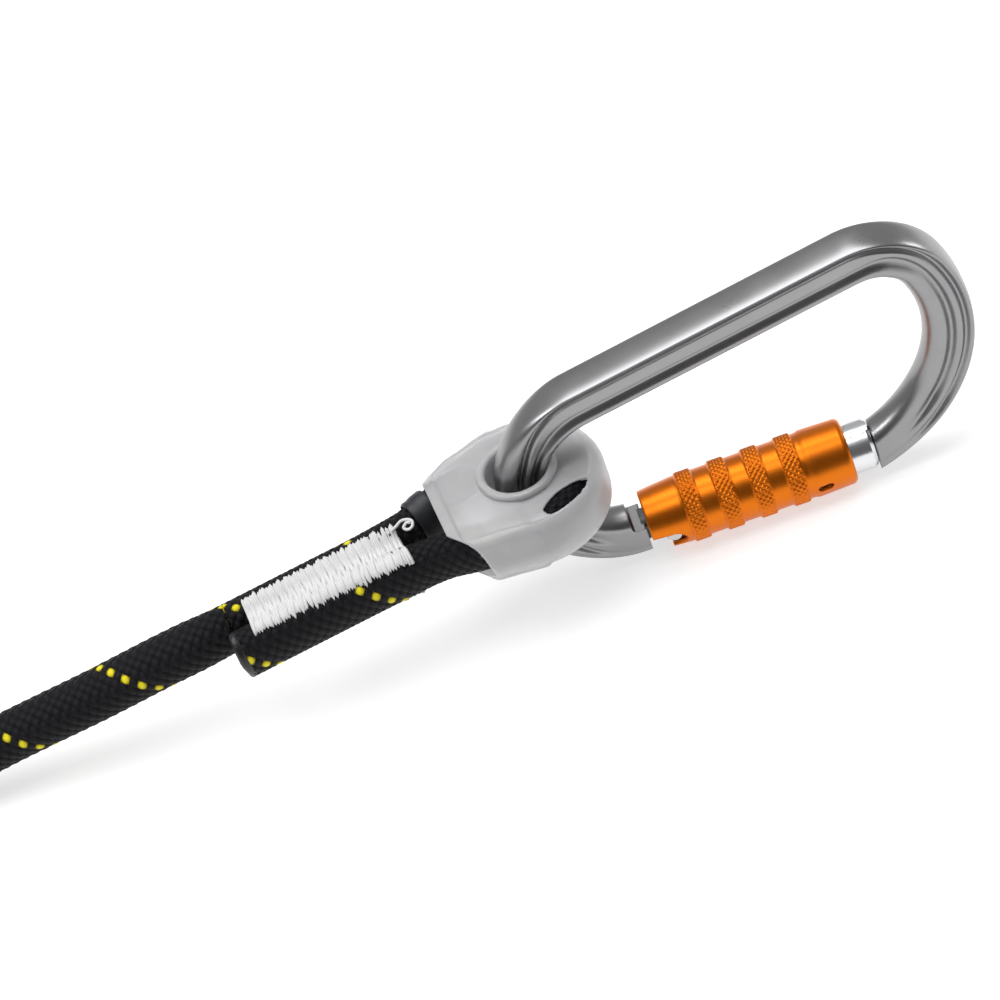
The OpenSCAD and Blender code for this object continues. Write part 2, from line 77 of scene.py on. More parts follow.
HANK_LANE_Y, HANK_X, HANK_FAR_X = -12.0, -220.0, -320.0
HANK_MID_Y, FOLD_R, OUTER_R = 36.0, 36.0, 48.0
LOW_Z, HIGH_Z = 7.2, 19.2
END_Y, END_Z = 84.8, 20.8


def place(points):
    return (np.asarray(points, float) - CENTRE) / 1000.0


# ---- mesh helpers


def make(name, points, faces, uv=None, smooth=True):
    """A mesh object from points in mm. uv gives a pair for each corner, in face order."""
    mesh = bpy.data.meshes.new(name)
    mesh.from_pydata(place(points).tolist(), [], [list(map(int, f)) for f in faces])
    if uv is not None:
        layer = mesh.uv_layers.new(name="braid")
        layer.data.foreach_set("uv", np.asarray(uv, float).ravel())
    mesh.polygons.foreach_set("use_smooth", [smooth] * len(mesh.polygons))
    mesh.update()
    obj = bpy.data.objects.new(name, mesh)
    bpy.context.scene.collection.objects.link(obj)
    return obj


def join_parts(parts):
    """Points and faces of several closed shapes as one list of each."""
    points, faces, base = [], [], 0
    for p, f in parts:
        points.append(np.asarray(p, float))
        faces += [[i + base for i in face] for face in f]
        base += len(p)
    return np.concatenate(points), faces


def unit(v):
    return v / np.maximum(np.linalg.norm(v, axis=-1, keepdims=True), 1e-12)


def spline(points, step):
    """A Catmull-Rom curve through the points, with about step between two of its own."""
    p = np.asarray(points, float)
    padded = np.concatenate([2 * p[:1] - p[1:2], p, 2 * p[-1:] - p[-2:-1]])
    out = []
    for a, b, c, d in zip(padded, padded[1:], padded[2:], padded[3:]):
        n = max(1, int(ceil(np.linalg.norm(c[:3] - b[:3]) / step)))
        t = np.arange(n)[:, None] / n
        out.append(0.5 * (2 * b + (c - a) * t + (2 * a - 5 * b + 4 * c - d) * t**2
                          + (3 * b - a - 3 * c + d) * t**3))
    return np.concatenate(out + [p[-1:]])


def lengths(path):
    return np.concatenate([[0.0], np.cumsum(np.linalg.norm(np.diff(path, axis=0), axis=1))])


def directions(path):
    return unit(np.gradient(path, axis=0))


def grid_faces(rows, columns):
    """Quads between rings of points, each ring closed on itself."""
    k, i = np.meshgrid(np.arange(rows - 1), np.arange(columns), indexing="ij")
    j = (i + 1) % columns
    near, far = k * columns, (k + 1) * columns
    return np.stack([near + i, near + j, far + j, far + i], -1).reshape(-1, 4).tolist()


def closed_faces(rows, n):
    """The quads between rings, and a flat face on the first ring and on the last."""
    return grid_faces(rows, n) + [list(range(n))[::-1], [(rows - 1) * n + i for i in range(n)]]


def sideways(dirs):
    """Unit vectors square to each direction: one level, one upright."""
    side = unit(np.cross(dirs, [0, 0, 1.0]))
    return side, np.cross(side, dirs)


def tube(path, sizes, n, lift):
    """Rings round a path. sizes are half widths and half heights; lift moves points outwards."""
    side, up = sideways(directions(path))
    a = 2 * np.pi * np.arange(n) / n
    w, h = sizes[:, :1], sizes[:, 1:]
    x, y = w * np.cos(a), h * np.sin(a)
    nx, ny = np.cos(a) / w, np.sin(a) / h
    size = np.hypot(nx, ny)
    x, y = x + lift * nx / size, y + lift * ny / size
    points = path[:, None] + side[:, None] * x[..., None] + up[:, None] * y[..., None]
    return points.reshape(-1, 3), [f[::-1] for f in closed_faces(len(path), n)]


# ---- braid


def braid(turn, along):
    """Height of a one-over-one braid, about -1 to 1, at turns round the rope and mm along it."""
    a = STRANDS * (turn + along / PITCH)
    b = STRANDS * (turn - along / PITCH)
    i, j = np.floor(a), np.floor(b)
    over_a = np.cos(np.pi * (b + i - 0.5)) * 0.55
    over_b = np.cos(np.pi * (a + j - 1.5)) * 0.55
    round_a = np.sqrt(1 - 0.9 * (2 * (a - i) - 1) ** 2)
    round_b = np.sqrt(1 - 0.9 * (2 * (b - j) - 1) ** 2)
    return np.maximum(over_a + round_a, over_b + round_b) - 0.95


def rope_mesh(name, path, sizes, along, depth):
    """A braided rope. along is the place along the whole rope at each ring, depth the relief in mm."""
    n = BRAID_SIDES
    turn = np.arange(n) / n
    lift = braid(turn[None], along[:, None]) * depth[:, None]
    points, faces = tube(path, sizes, n, lift)
    rows = len(path)
    k, i = np.meshgrid(np.arange(rows - 1), np.arange(n), indexing="ij")
    u0, u1 = i / n, (i + 1) / n
    v0, v1 = along[k] / PITCH, along[k + 1] / PITCH
    # the corners in the order that tube() gives them, reversed
    uv = np.stack([np.stack([u0, v1], -1), np.stack([u1, v1], -1),
                   np.stack([u1, v0], -1), np.stack([u0, v0], -1)], 2).reshape(-1, 2)
    ends = np.concatenate([np.stack([turn, np.full(n, along[0] / PITCH)], -1),
                           np.stack([turn, np.full(n, along[-1] / PITCH)], -1)[::-1]])
    return make(name, points, faces, uv=np.concatenate([uv, ends]))


# ---- camera

ROLL, ELEVATION, DISTANCE = 19.514, 46.0, 900.0
LENS, SENSOR = 141.624, 36.0
AIM = np.array([21.4, 0.0, AXIS_Z])
LOOK_RIGHT, LOOK_UP = -0.0349835, 0.006104     # how far the view's middle lies from AIM, as slopes


def make_camera():
    """Seen from a distance in front and above, turned by ROLL about the line of sight."""
    c, s = cos(radians(ROLL)), sin(radians(ROLL))
    e = radians(ELEVATION)
    up0 = np.array([0, sin(e), cos(e)])
    back = np.array([0, -cos(e), sin(e)])
    right0 = np.array([1.0, 0, 0])
    right, up = c * right0 - s * up0, s * right0 + c * up0
    centre = place(AIM + DISTANCE * back)
    forward = unit(-back + right * LOOK_RIGHT + up * LOOK_UP)
    z = -forward
    x = unit(right - z * np.dot(right, z))
    y = np.cross(z, x)
    data = bpy.data.cameras.new("camera")
    data.sensor_width = SENSOR
    data.lens = LENS
    data.clip_start, data.clip_end = 0.01, 20.0
    camera = bpy.data.objects.new("camera", data)
    bpy.context.scene.collection.objects.link(camera)
    turn = Matrix([[x[0], y[0], z[0], centre[0]], [x[1], y[1], z[1], centre[1]],
                   [x[2], y[2], z[2], centre[2]], [0, 0, 0, 1]])
    camera.matrix_world = turn
    bpy.context.scene.camera = camera


make_camera()
bpy.context.scene.view_settings.view_transform = "Standard"

# ---- rope routes


def fall(x):
    """The eye's plane is level up to SLOPE_FROM; behind it the legs slope down."""
    return (x - SLOPE_FROM) * tan(radians(SLOPE)) if x < SLOPE_FROM else 0.0


def eye_to_part(p):
    """From the eye's own plane to the part: turned a little about the hole, and raised."""
    p = np.asarray(p, float)
    c, s = cos(radians(EYE_TURN)), sin(radians(EYE_TURN))
    x, y = p[..., 0], p[..., 1]
    return np.stack([x * c - y * s, x * s + y * c, p[..., 2] + EYE_Z], -1)


def eye_point(x, y):
    return (x, y, fall(x))


exit_point = eye_to_part(eye_point(LEG_END, MAIN_Y))


def hank_route():
    """From the exit to the far end: down to the ground, then the turns, clockwise from above."""
    def half(x, sign, r0, r1, z0, z1, climb):
        """A fold, from radius r0 to r1 and from z0 to z1; climb is where the changes lie in it."""
        points = []
        for k in range(1, 14):
            t = k / 14
            a = radians(90 - 180 * t) if sign > 0 else radians(270 - 180 * t)
            m = min(max((t - climb[0]) / (climb[1] - climb[0]), 0), 1)
            m = m * m * (3 - 2 * m)
            r = r0 + (r1 - r0) * m
            points.append((x + r * cos(a), HANK_MID_Y + r * sin(a), z0 + (z1 - z0) * m))
        return points

    def run(x0, x1, y, z):
        return [(x0 + (x1 - x0) * k / 5, y, z) for k in range(6)]

    out = [tuple(exit_point), (-78, -5.7, 25.6), (-90, -5.6, 23.6), (-107, -4.8, 19.6),
           (-120, -4.2, 17), (-133, -3.4, 14), (-147, -3.6, 10.9), (-161, -5.2, 8.6),
           (-176, -7.6, 7.4), (-191, -10, 7.2), (-206, -11.5, 7.2)]
    turns = [(OUTER_R, FOLD_R, LOW_Z, LOW_Z, (0.5, 1.0)),
             (FOLD_R, FOLD_R, LOW_Z, HIGH_Z, (0.0, 0.6)),
             (FOLD_R, OUTER_R, HIGH_Z, HIGH_Z, (0.0, 1.0))]
    for r0, r1, z0, z1, climb in turns:
        out += run(HANK_X, HANK_FAR_X, HANK_MID_Y - r0, z0)
        out += half(HANK_FAR_X, -1, r0, r0, z0, z0, (0, 1))
        out += run(HANK_FAR_X, HANK_X, HANK_MID_Y + r0, z0)
        out += half(HANK_X, 1, r0, r1, z0, z1, climb)
    out += run(HANK_X, HANK_FAR_X, HANK_LANE_Y, HIGH_Z)
    out += half(HANK_FAR_X, -1, OUTER_R, OUTER_R, HIGH_Z, HIGH_Z, (0, 1))
    out += [(x, HANK_MID_Y + OUTER_R, HIGH_Z) for x in (-320, -300, -280, -264)]
    # the last run is lifted a little off the turns below, so that a device can be threaded on
    out += [(-254, 84.4, 20.0), (-244, END_Y, END_Z), (-225, END_Y, END_Z)]
    return out


SHOWN_MM = 105.0            # this much of the rope has its braid as relief
free_fine = spline(hank_route(), 0.25)
free_at = lengths(free_fine)
free_length = free_at[-1]
fine = np.arange(0, SHOWN_MM, 0.27)
coarse = np.linspace(SHOWN_MM, free_length, int((free_length - SHOWN_MM) / 2.4))
stations = np.concatenate([fine, coarse])
free_path = np.stack([np.interp(stations, free_at, free_fine[:, k]) for k in range(3)], -1)
to_round = np.clip(stations / 12, 0, 1)[:, None]
to_round = to_round * to_round * (3 - 2 * to_round)
free_sizes = (1 - to_round) * np.array([LEG]) + to_round * np.array([[ROPE_R, ROPE_R]])
relief = BRAID_RELIEF * np.clip((SHOWN_MM - stations) / 8, 0, 1)
# meshed from the far end, so that its braid runs on into the running leg's, one strand over
free_rope = rope_mesh("free_rope_braid", free_path[::-1], free_sizes[::-1] - SKIN_IN,
                      PITCH / STRANDS - stations[::-1], relief[::-1])
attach(free_rope, "rope_body")
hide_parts("free_rope", "rope_hank", "rope_last_run")

# the sewn rope: running leg, eye and tail leg as one route
leg_points = [(LEG_END, MAIN_Y), (-68, MAIN_Y), (-60, MAIN_Y), (-50, MAIN_Y), (-40, MAIN_Y), (-32, 2.6),
              (-27, 3.6), (-23, 5.0)]
eye_points = [(-17, 7.7), (-11, 10.2)] \
    + [(LOOP_R * cos(radians(a)), LOOP_R * sin(radians(a)))
       for a in range(108, -109, -18)] \
    + [(-11, -11.2), (-17, -9.9)]
tail_points = [(-22, -8.6), (-27, -7.8), (-32, -7.3), (-40, TAIL_Y), (-52, TAIL_Y), (-64, TAIL_Y),
               (TAIL_END, TAIL_Y)]


def flat_size(x, in_eye):
    if in_eye or x > -24:
        return EYE
    return (4.4, 6.0) if x > -30 else LEG


sewn_control = [(*eye_point(x, y), *flat_size(x, False)) for x, y in leg_points] \
    + [(x, y, 0.0, *EYE) for x, y in eye_points] \
    + [(*eye_point(x, y), *flat_size(x, False)) for x, y in tail_points]
sewn = spline(sewn_control, 0.27)
sewn_path = eye_to_part(sewn[:, :3])
sewn_sizes = sewn[:, 3:5]
sewn_at = lengths(sewn_path)
split_a = int(np.argmin(np.linalg.norm(sewn[:, :2] - [-23, 5.0], axis=1)))
split_b = int(np.argmin(np.linalg.norm(sewn[:, :2] - [-17, -9.9], axis=1)))
for name, node, lo, hi in [("running_leg_braid", "running_leg", 0, split_a + 1),
                           ("rope_eye_braid", "rope_eye", split_a, split_b + 1),
                           ("tail_leg_braid", "tail_leg", split_b, len(sewn))]:
    part = slice(lo, hi)
    tracer_shift = PITCH / STRANDS if node == "running_leg" else 0.0
    leg = rope_mesh(name, sewn_path[part], sewn_sizes[part] - SKIN_IN, sewn_at[part] + tracer_shift,
                    np.full(hi - lo, BRAID_RELIEF))
    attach(leg, "rope_body")
    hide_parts(node)

# ---- carabiner frame

# Where the ridges and grooves of the bar's faces lie, in mm across a bar BAR_H high, from its outer
# side (+) to its inner side (-): outer ridge, narrow groove, flat ridge's two edges, broad groove,
# inner ridge. The forging moves them across as the bar turns.
FEATURES = {"hinge": (4.6, 3.6, 3.0, 1.6, 0.2, -2.4), "narrow": (1.9, 0.5, -0.7, -1.3, -2.5, -3.9),
            "spine": (5.0, 4.15, 3.5, 0.35, -1.15, -3.5), "crown": (4.8, 3.85, 2.8, 2.2, 0.3, -2.8),
            "wide": (4.8, 3.4, 2.2, 1.5, 0.2, -1.8), "nose": (4.6, 3.2, 2.2, 1.5, 0.2, -2.0)}
# how far each of the six lies back from the bar's widest plane; the 2nd and 5th are the grooves
FEATURE_BACK = (0.1, 1.35, 0.15, 0.15, 1.6, 0.35)
NO_GROOVE = 0.25


def face_profile(features, groove, size):
    """The closed section as (across, out of plane) pairs. groove scales the depth of the grooves."""
    edge, half_t = BAR_H / 2, BAR_T / 2
    deep = [b if m not in (1, 4) else NO_GROOVE + (b - NO_GROOVE) * groove
            for m, b in enumerate(FEATURE_BACK)]
    t = np.arange(9) / 9
    first = features[0]
    u = list(first + (edge - first) * np.cos(np.pi / 2 * t) ** 0.9)
    back = list(half_t - (half_t - FEATURE_BACK[0]) * np.sin(np.pi / 2 * t) ** 0.9)
    for k in range(5):
        f = np.arange(4) / 4
        u += list(features[k] + (features[k + 1] - features[k]) * f)
        back += list(deep[k] + (deep[k + 1] - deep[k]) * (1 - np.cos(np.pi * f)) / 2)
    last = features[5]
    t = np.arange(11) / 10
    u += list(last - (edge + last) * np.sin(np.pi / 2 * t))
    back += list(half_t - (half_t - FEATURE_BACK[5]) * np.cos(np.pi / 2 * t))
    across = np.array(u) * size[0] / BAR_H
    half = (half_t - np.array(back)) * size[1] / BAR_T
    front = np.stack([across, -half], -1)
    rear = np.stack([across, half], -1)[::-1][1:-1]
    return np.concatenate([front, rear])


def between(names, f):
    """Features part of the way from one named place to the next, f from 0 to the number of steps."""
    k = min(int(f), len(names) - 2)
    g = f - k
    g = g * g * (3 - 2 * g)
    a, b = np.array(FEATURES[names[k]]), np.array(FEATURES[names[k + 1]])
    return a + (b - a) * g


def bent_bar():
    """The bar as one closed skin, from the hinge shoulder round to the flat plane of the nose."""
    t = radians(TILT)
    a_top = radians(90 + TILT)
    wide_a = radians(90 + TILT - CROWN_TURN)
    start = np.array([BEND_X + NARROW_R * cos(a_top) + SPINE_L * cos(t),
                      BEND_Z + NARROW_R * sin(a_top) + SPINE_L * sin(t)])
    crown = start + CROWN_R * np.array([sin(t), -cos(t)])
    wide = crown - (WIDE_R - CROWN_R) * np.array([cos(wide_a), sin(wide_a)])
    rings = []          # centre, radius, outward angle, features, groove, cut by the pocket

    def arc(centre, radius, a0, a1, n, names, groove):
        for k in range(n):
            f = k / n
            a = a0 + (a1 - a0) * f
            in_pocket = centre[0] + radius * cos(a) > POCKET_X and names[0] == "hinge"
            features = between(names, f * (len(names) - 1))
            rings.append((centre, radius, a, features, groove(f), in_pocket))

    size = (BAR_H, BAR_T)
    for x in (SHOULDER_X, SHOULDER_X - 0.3, BEND_X + 0.4):
        rings.append(((x, BEND_Z), NARROW_R, radians(270), np.array(FEATURES["hinge"]), 0.0, True))
    arc((BEND_X, BEND_Z), NARROW_R, radians(270), a_top, 130, ("hinge", "narrow", "narrow", "spine"),
        lambda f: min(1.0, max(0.0, (f - 0.1) * 5)) * (1.0 + 0.3 * sin(pi * f)))
    for k in range(60):
        f = k / 60
        p = np.array([BEND_X, BEND_Z]) + SPINE_L * f * np.array([cos(t), sin(t)])
        rings.append((p, NARROW_R, a_top, np.array(FEATURES["spine"]), 1.0, False))
    arc(crown, CROWN_R, a_top, wide_a, 70, ("spine", "crown", "wide"), lambda f: 1.0)
    nose_from = radians(-38)
    arc(wide, WIDE_R, wide_a, nose_from, 70, ("wide", "wide", "nose"), lambda f: 1.0)
    points = []
    for centre, radius, a, features, groove, cut in rings:
        section = face_profile(features, groove, size)
        u = section[:, 0].copy()
        if cut:
            u = np.maximum(u, -POCKET_DEPTH)
        r = radius + u
        points.append(np.stack([centre[0] + r * cos(a), section[:, 1],
                                centre[1] + r * sin(a)], -1))
    # the end runs into the flat plane of the nose
    n_end = 36
    for k in range(n_end + 1):
        f = k / n_end
        g = f * f * (3 - 2 * f)
        size = (BAR_H * (1 - 0.10 * g), BAR_T * (1 + 0.04 * g))
        section = face_profile(FEATURES["nose"], 1 - min(1.0, 1.5 * f), size)
        r = WIDE_R + section[:, 0]
        last = -np.arccos((NOSE_X - wide[0]) / r)
        a = nose_from + (last - nose_from) * f
        points.append(np.stack([wide[0] + r * np.cos(a), section[:, 1], wide[1] + r * np.sin(a)], -1))
    return np.concatenate(points), closed_faces(len(points), len(points[0]))


def prism(outline, low, high, axis):
    """A closed prism over an outline of (p, q) pairs. axis 1 runs along y, axis 2 along z."""
    outline = np.asarray(outline, float)
    n = len(outline)

    def at(v):
        if axis == 1:
            return np.stack([outline[:, 0], np.full(n, v), outline[:, 1]], -1)
        return np.stack([outline[:, 0], outline[:, 1], np.full(n, v)], -1)

    side = [[i, (i + 1) % n, n + (i + 1) % n, n + i] for i in range(n)]
    return np.concatenate([at(low), at(high)]), side + [list(range(n))[::-1], list(range(n, 2 * n))]


def tang():
    """The tongue of the frame that the rivet goes through, between the gate's two cheeks."""
    a = np.radians(np.arange(-180, 181, 6))
    outline = [(RIVET_X + 3.3 * cos(t), RIVET_Z + 3.3 * sin(t)) for t in a if t <= 0]
    outline = outline[1:] + [(RIVET_X + 5.2 * cos(t), RIVET_Z + 5.2 * sin(t))
                             for t in a if 0 < t < 2.2]
    outline += [(SHOULDER_X - 4, RIVET_Z + 4), (SHOULDER_X - 4, RIVET_Z - 2.9)]
    return prism(outline, -2.5, 2.5, 1)


def tongue():
    """The nose's key: a round head on a neck."""
    ring = [(TONGUE_X + TONGUE_R * cos(t), TONGUE_R * sin(t))
            for t in np.radians(np.arange(33, 328, 9))]
    return prism(ring + [(NOSE_X + 1, -TONGUE_NECK), (NOSE_X + 1, TONGUE_NECK)], AXIS_Z - 4, AXIS_Z + 4, 2)


bar = make("carabiner_bar", *join_parts([bent_bar(), tang(), tongue()]))
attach(bar, "carabiner")
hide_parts("carabiner_frame")

# ---- gate's key slot


def key_cover():
    """Closes the gate's key-shaped slot above the nose's tongue, flush with the gate's round skin."""
    r, neck = TONGUE_R + KEY_GAP, TONGUE_NECK + KEY_GAP
    low_z, end_x = AXIS_Z + 4.2, GATE_END_X - 0.25
    points = []
    ys = r * np.sin(np.linspace(-0.94, 0.94, 25) * np.pi / 2)
    for y in ys:
        reach = sqrt(r * r - y * y)
        left, right = TONGUE_X - reach, end_x if abs(y) < neck else TONGUE_X + reach
        top = AXIS_Z + sqrt(GATE_R * GATE_R - y * y) - 0.03
        points += [(left, y, low_z), (right, y, low_z), (right, y, top), (left, y, top)]
    return np.array(points), closed_faces(len(ys), 4)


key = make("gate_key_cover", *key_cover(), smooth=False)
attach(key, "gate")

# ---- locking sleeve


def sleeve_radius(x, phi):
    """Outer radius at x mm from the hinge end and phi round the axis."""
    at = [0, 0.35, 3.5, BAND_FIRST - 0.4, BAND_FIRST, BAND_END, SLEEVE_L - 1.1, SLEEVE_L - 0.5, SLEEVE_L]
    r = np.interp(x, at, [6.98, 7.12, 7.45, 7.86, GROOVE_R, GROOVE_R, 7.82, 7.62, 7.1])
    for k in range(4):
        x0 = BAND_FIRST + k * BAND_PITCH
        inside = np.clip(np.minimum(x - x0, x0 + BAND_W - x) / 0.45, 0, 1)
        one = (x * KNURL_PER_MM + KNURL_PER_RADIAN * phi) % 1
        other = (x * KNURL_PER_MM - KNURL_PER_RADIAN * phi) % 1
        line = np.minimum(np.minimum(one, 1 - one), np.minimum(other, 1 - other))
        cut = np.clip(1 - line / 0.28, 0, 1)
        band = SLEEVE_R - KNURL_DEPTH * cut * (inside >= 1)
        r = r + (band - r) * (inside > 0) * inside
    # beyond the last band a plain collar, a little cone
    tail = np.clip((x - 38.2) / 1.2, 0, 1)
    after = np.interp(x, [BAND_END, 47.7], [8.12, 7.82])
    return np.where((x > BAND_END) & (x < SLEEVE_L - 1.1), GROOVE_R + (after - GROOVE_R) * tail, r)


def notch(x, z):
    """Below zero inside the notches at the hinge end and the open side between them."""
    along = np.clip(x, SLEEVE_X - 4, SLEEVE_X + 4.9)
    slot = np.hypot(x - along, z - (AXIS_Z - 2.4)) - 2.9
    low = np.maximum(x - (SLEEVE_X + 4.2), z - (AXIS_Z - 4))
    return np.minimum(slot, low)


def oblong(x, phi, r):
    """Below zero inside the small hole that shows the guide pin."""
    centre = np.radians(-9.0)
    d = (phi - centre + np.pi) % (2 * np.pi) - np.pi
    along = np.clip(x - PIN_X, -0.95, 0.95)
    return np.hypot(x - PIN_X - along, d * r) - 0.95


def sleeve_mesh():
    """The sleeve's outer and inner skins, with walls along the edges of its notch and hole."""
    nx, nt = 300, 330
    x = np.linspace(0, SLEEVE_L, nx)[:, None] + np.zeros((1, nt))
    phi = (2 * np.pi * np.arange(nt) / nt)[None] + np.zeros((nx, 1))

    def hole(x, phi):
        r = sleeve_radius(x, phi * 0)
        z = r * np.sin(phi) + AXIS_Z
        return np.minimum(notch(x + SLEEVE_X, z), oblong(x + SLEEVE_X, phi, r))

    g = hole(x, phi)
    cell = (g[:-1] + np.roll(g, -1, 1)[:-1] + g[1:] + np.roll(g, -1, 1)[1:]) / 4
    keep = cell > 0
    left = np.roll(keep, 1, 1)
    used = np.zeros((nx, nt, 4), bool)
    used[:-1, :, 0], used[1:, :, 1] = keep, keep
    used[:-1, :, 2], used[1:, :, 3] = left, left
    any_used, all_used = used.any(2), used.all(2)
    all_used[0], all_used[-1] = (keep & left)[0], (keep & left)[-1]
    edge = any_used & ~all_used
    # points on the rim of a hole move onto its outline
    for _ in range(3):
        e = 0.01
        gx = (hole(x + e, phi) - hole(x - e, phi)) / (2 * e)
        gp = (hole(x, phi + e / 8) - hole(x, phi - e / 8)) / (2 * e)
        value = hole(x, phi)
        size = np.maximum(gx**2 + gp**2, 0.05)
        move = edge * np.clip(value, -0.25, 0.25) / size
        ends = np.zeros_like(edge)
        ends[0], ends[-1] = True, True
        x = np.where(ends, x, x - move * gx)
        phi = phi - move * gp / 8
    x = np.clip(x, 0, SLEEVE_L)
    outer = sleeve_radius(x, phi)
    inner = np.interp(x, [0, 0.4, 9.1, 9.25, 11, 11.1, 42.8, 42.9, SLEEVE_L],
                      [6.75, 6.6, 6.6, 6.05, 6.05, 7.1, 7.1, 6.9, 6.9])
    inner = np.minimum(inner, outer - 0.25)

    def shell(r):
        return np.stack([x + SLEEVE_X, -r * np.cos(phi), AXIS_Z + r * np.sin(phi)], -1).reshape(-1, 3)

    total = nx * nt
    ids = np.arange(total).reshape(nx, nt)
    a, b = ids[:-1], np.roll(ids, -1, 1)[:-1]
    c, d = np.roll(ids, -1, 1)[1:], ids[1:]
    quads = np.stack([a, b, c, d], -1)[keep]
    faces = quads.tolist() + (quads[:, ::-1] + total).tolist()
    # walls between the outer and the inner skin along every open edge
    k, i = np.nonzero(keep)
    for dk, di, p, q in [(-1, 0, (0, 1), (0, 0)), (1, 0, (1, 0), (1, 1)),
                         (0, -1, (0, 0), (1, 0)), (0, 1, (1, 1), (0, 1))]:
        kk, ii = k + dk, (i + di) % nt
        outside = (kk < 0) | (kk >= nx - 1)
        open_edge = outside | ~keep[np.clip(kk, 0, nx - 2), ii]
        e0 = ids[k[open_edge] + p[0], (i[open_edge] + p[1]) % nt]
        e1 = ids[k[open_edge] + q[0], (i[open_edge] + q[1]) % nt]
        faces += np.stack([e0, e1, e1 + total, e0 + total], -1).tolist()
    points = np.concatenate([shell(outer), shell(inner)])
    used_ids = np.unique(np.asarray(faces).ravel())
    remap = np.full(2 * total, -1)
    remap[used_ids] = np.arange(len(used_ids))
    return points[used_ids], remap[np.asarray(faces)].tolist()


sleeve = make("locking_sleeve_skin", *sleeve_mesh())
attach(sleeve, "sleeve")
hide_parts("locking_sleeve")

# ---- thimble


def surface_net(field, low, step):
    """Points and quads of the surface where a field on a regular grid changes sign."""
    inside = field < 0
    nx, ny, nz = field.shape
    corner = [(i, j, k) for i in (0, 1) for j in (0, 1) for k in (0, 1)]

    def at(array, c):
        return array[c[0]:nx - 1 + c[0], c[1]:ny - 1 + c[1], c[2]:nz - 1 + c[2]]

    count = sum(at(inside, c).astype(int) for c in corner)
    active = (count > 0) & (count < 8)
    ids = np.full(active.shape, -1)
    ids[active] = np.arange(active.sum())
    total = np.zeros((active.sum(), 3))
    hits = np.zeros(active.sum())
    base = np.stack(np.nonzero(active), -1).astype(float)
    for c in corner:
        for axis in range(3):
            if c[axis]:
                continue
            d = list(c)
            d[axis] = 1
            f0, f1 = at(field, c)[active], at(field, d)[active]
            cross = (f0 < 0) != (f1 < 0)
            t = np.where(cross, f0 / np.where(cross, f0 - f1, 1), 0)
            spot = base + np.array(c)
            spot[:, axis] += t
            total += spot * cross[:, None]
            hits += cross
    points = low + step * total / hits[:, None]
    faces = []
    for axis in range(3):
        u, v = [(1, 2), (2, 0), (0, 1)][axis]
        n = list(field.shape)
        lo = [slice(1, n[0] - 1), slice(1, n[1] - 1), slice(1, n[2] - 1)]
        lo[axis] = slice(0, n[axis] - 1)
        hi = list(lo)
        hi[axis] = slice(1, n[axis])
        f0, f1 = inside[tuple(lo)], inside[tuple(hi)]
        where = np.stack(np.nonzero(f0 != f1), -1)
        out = f0[f0 != f1]
        spot = where + np.array([0 if a == axis else 1 for a in range(3)])
        cells = []
        for du, dv in ((-1, -1), (0, -1), (0, 0), (-1, 0)):
            q = spot.copy()
            q[:, u] += du
            q[:, v] += dv
            cells.append(ids[q[:, 0], q[:, 1], q[:, 2]])
        quads = np.stack(cells, -1)
        quads[~out] = quads[~out][:, ::-1]
        faces += quads.tolist()
    return points, faces


def softer(a, b, k):
    """The smaller of two fields, blended where they are about equal."""
    h = np.clip(0.5 + 0.5 * (b - a) / k, 0, 1)
    return b + (a - b) * h - k * h * (1 - h)


WALL, EYE_GAP = 1.0, 0.15
REAR_SIDE = np.array([[0.7, 19.0], [-14.5, 15.4]])
REAR_CORNER = np.array([[-14.5, 15.4], [-20.5, 11.8]])
FRONT_SIDE = np.array([[-5.0, -18.2], [-21.6, -15.6]])
DISC_AT, DISC_R = (0.5, -0.8), LOOP_R + EYE[0] + EYE_GAP + WALL + 0.6
HALF_H = 7.2
MOUTH_X, MOUTH_CORNER = -20.5, (-20.7, -9.3)
LEAF_AT, LEAF_TURN, LEAF_R, LEAF_IN = (6.0, -13.2), 21.0, 12.3, 9.9


def rounded_slab(outline, z, half, edge):
    """A slab of a flat outline (a signed distance), with rounded rims."""
    d, e = outline + edge, np.abs(z) - (half - edge)
    return np.minimum(np.maximum(d, e), 0) + np.hypot(np.maximum(d, 0), np.maximum(e, 0)) - edge


def side_of(line, x, y, sign):
    """Distance outside a straight side given by two points."""
    along = unit(line[1] - line[0])
    return sign * (-(x - line[0][0]) * along[1] + (y - line[0][1]) * along[0])


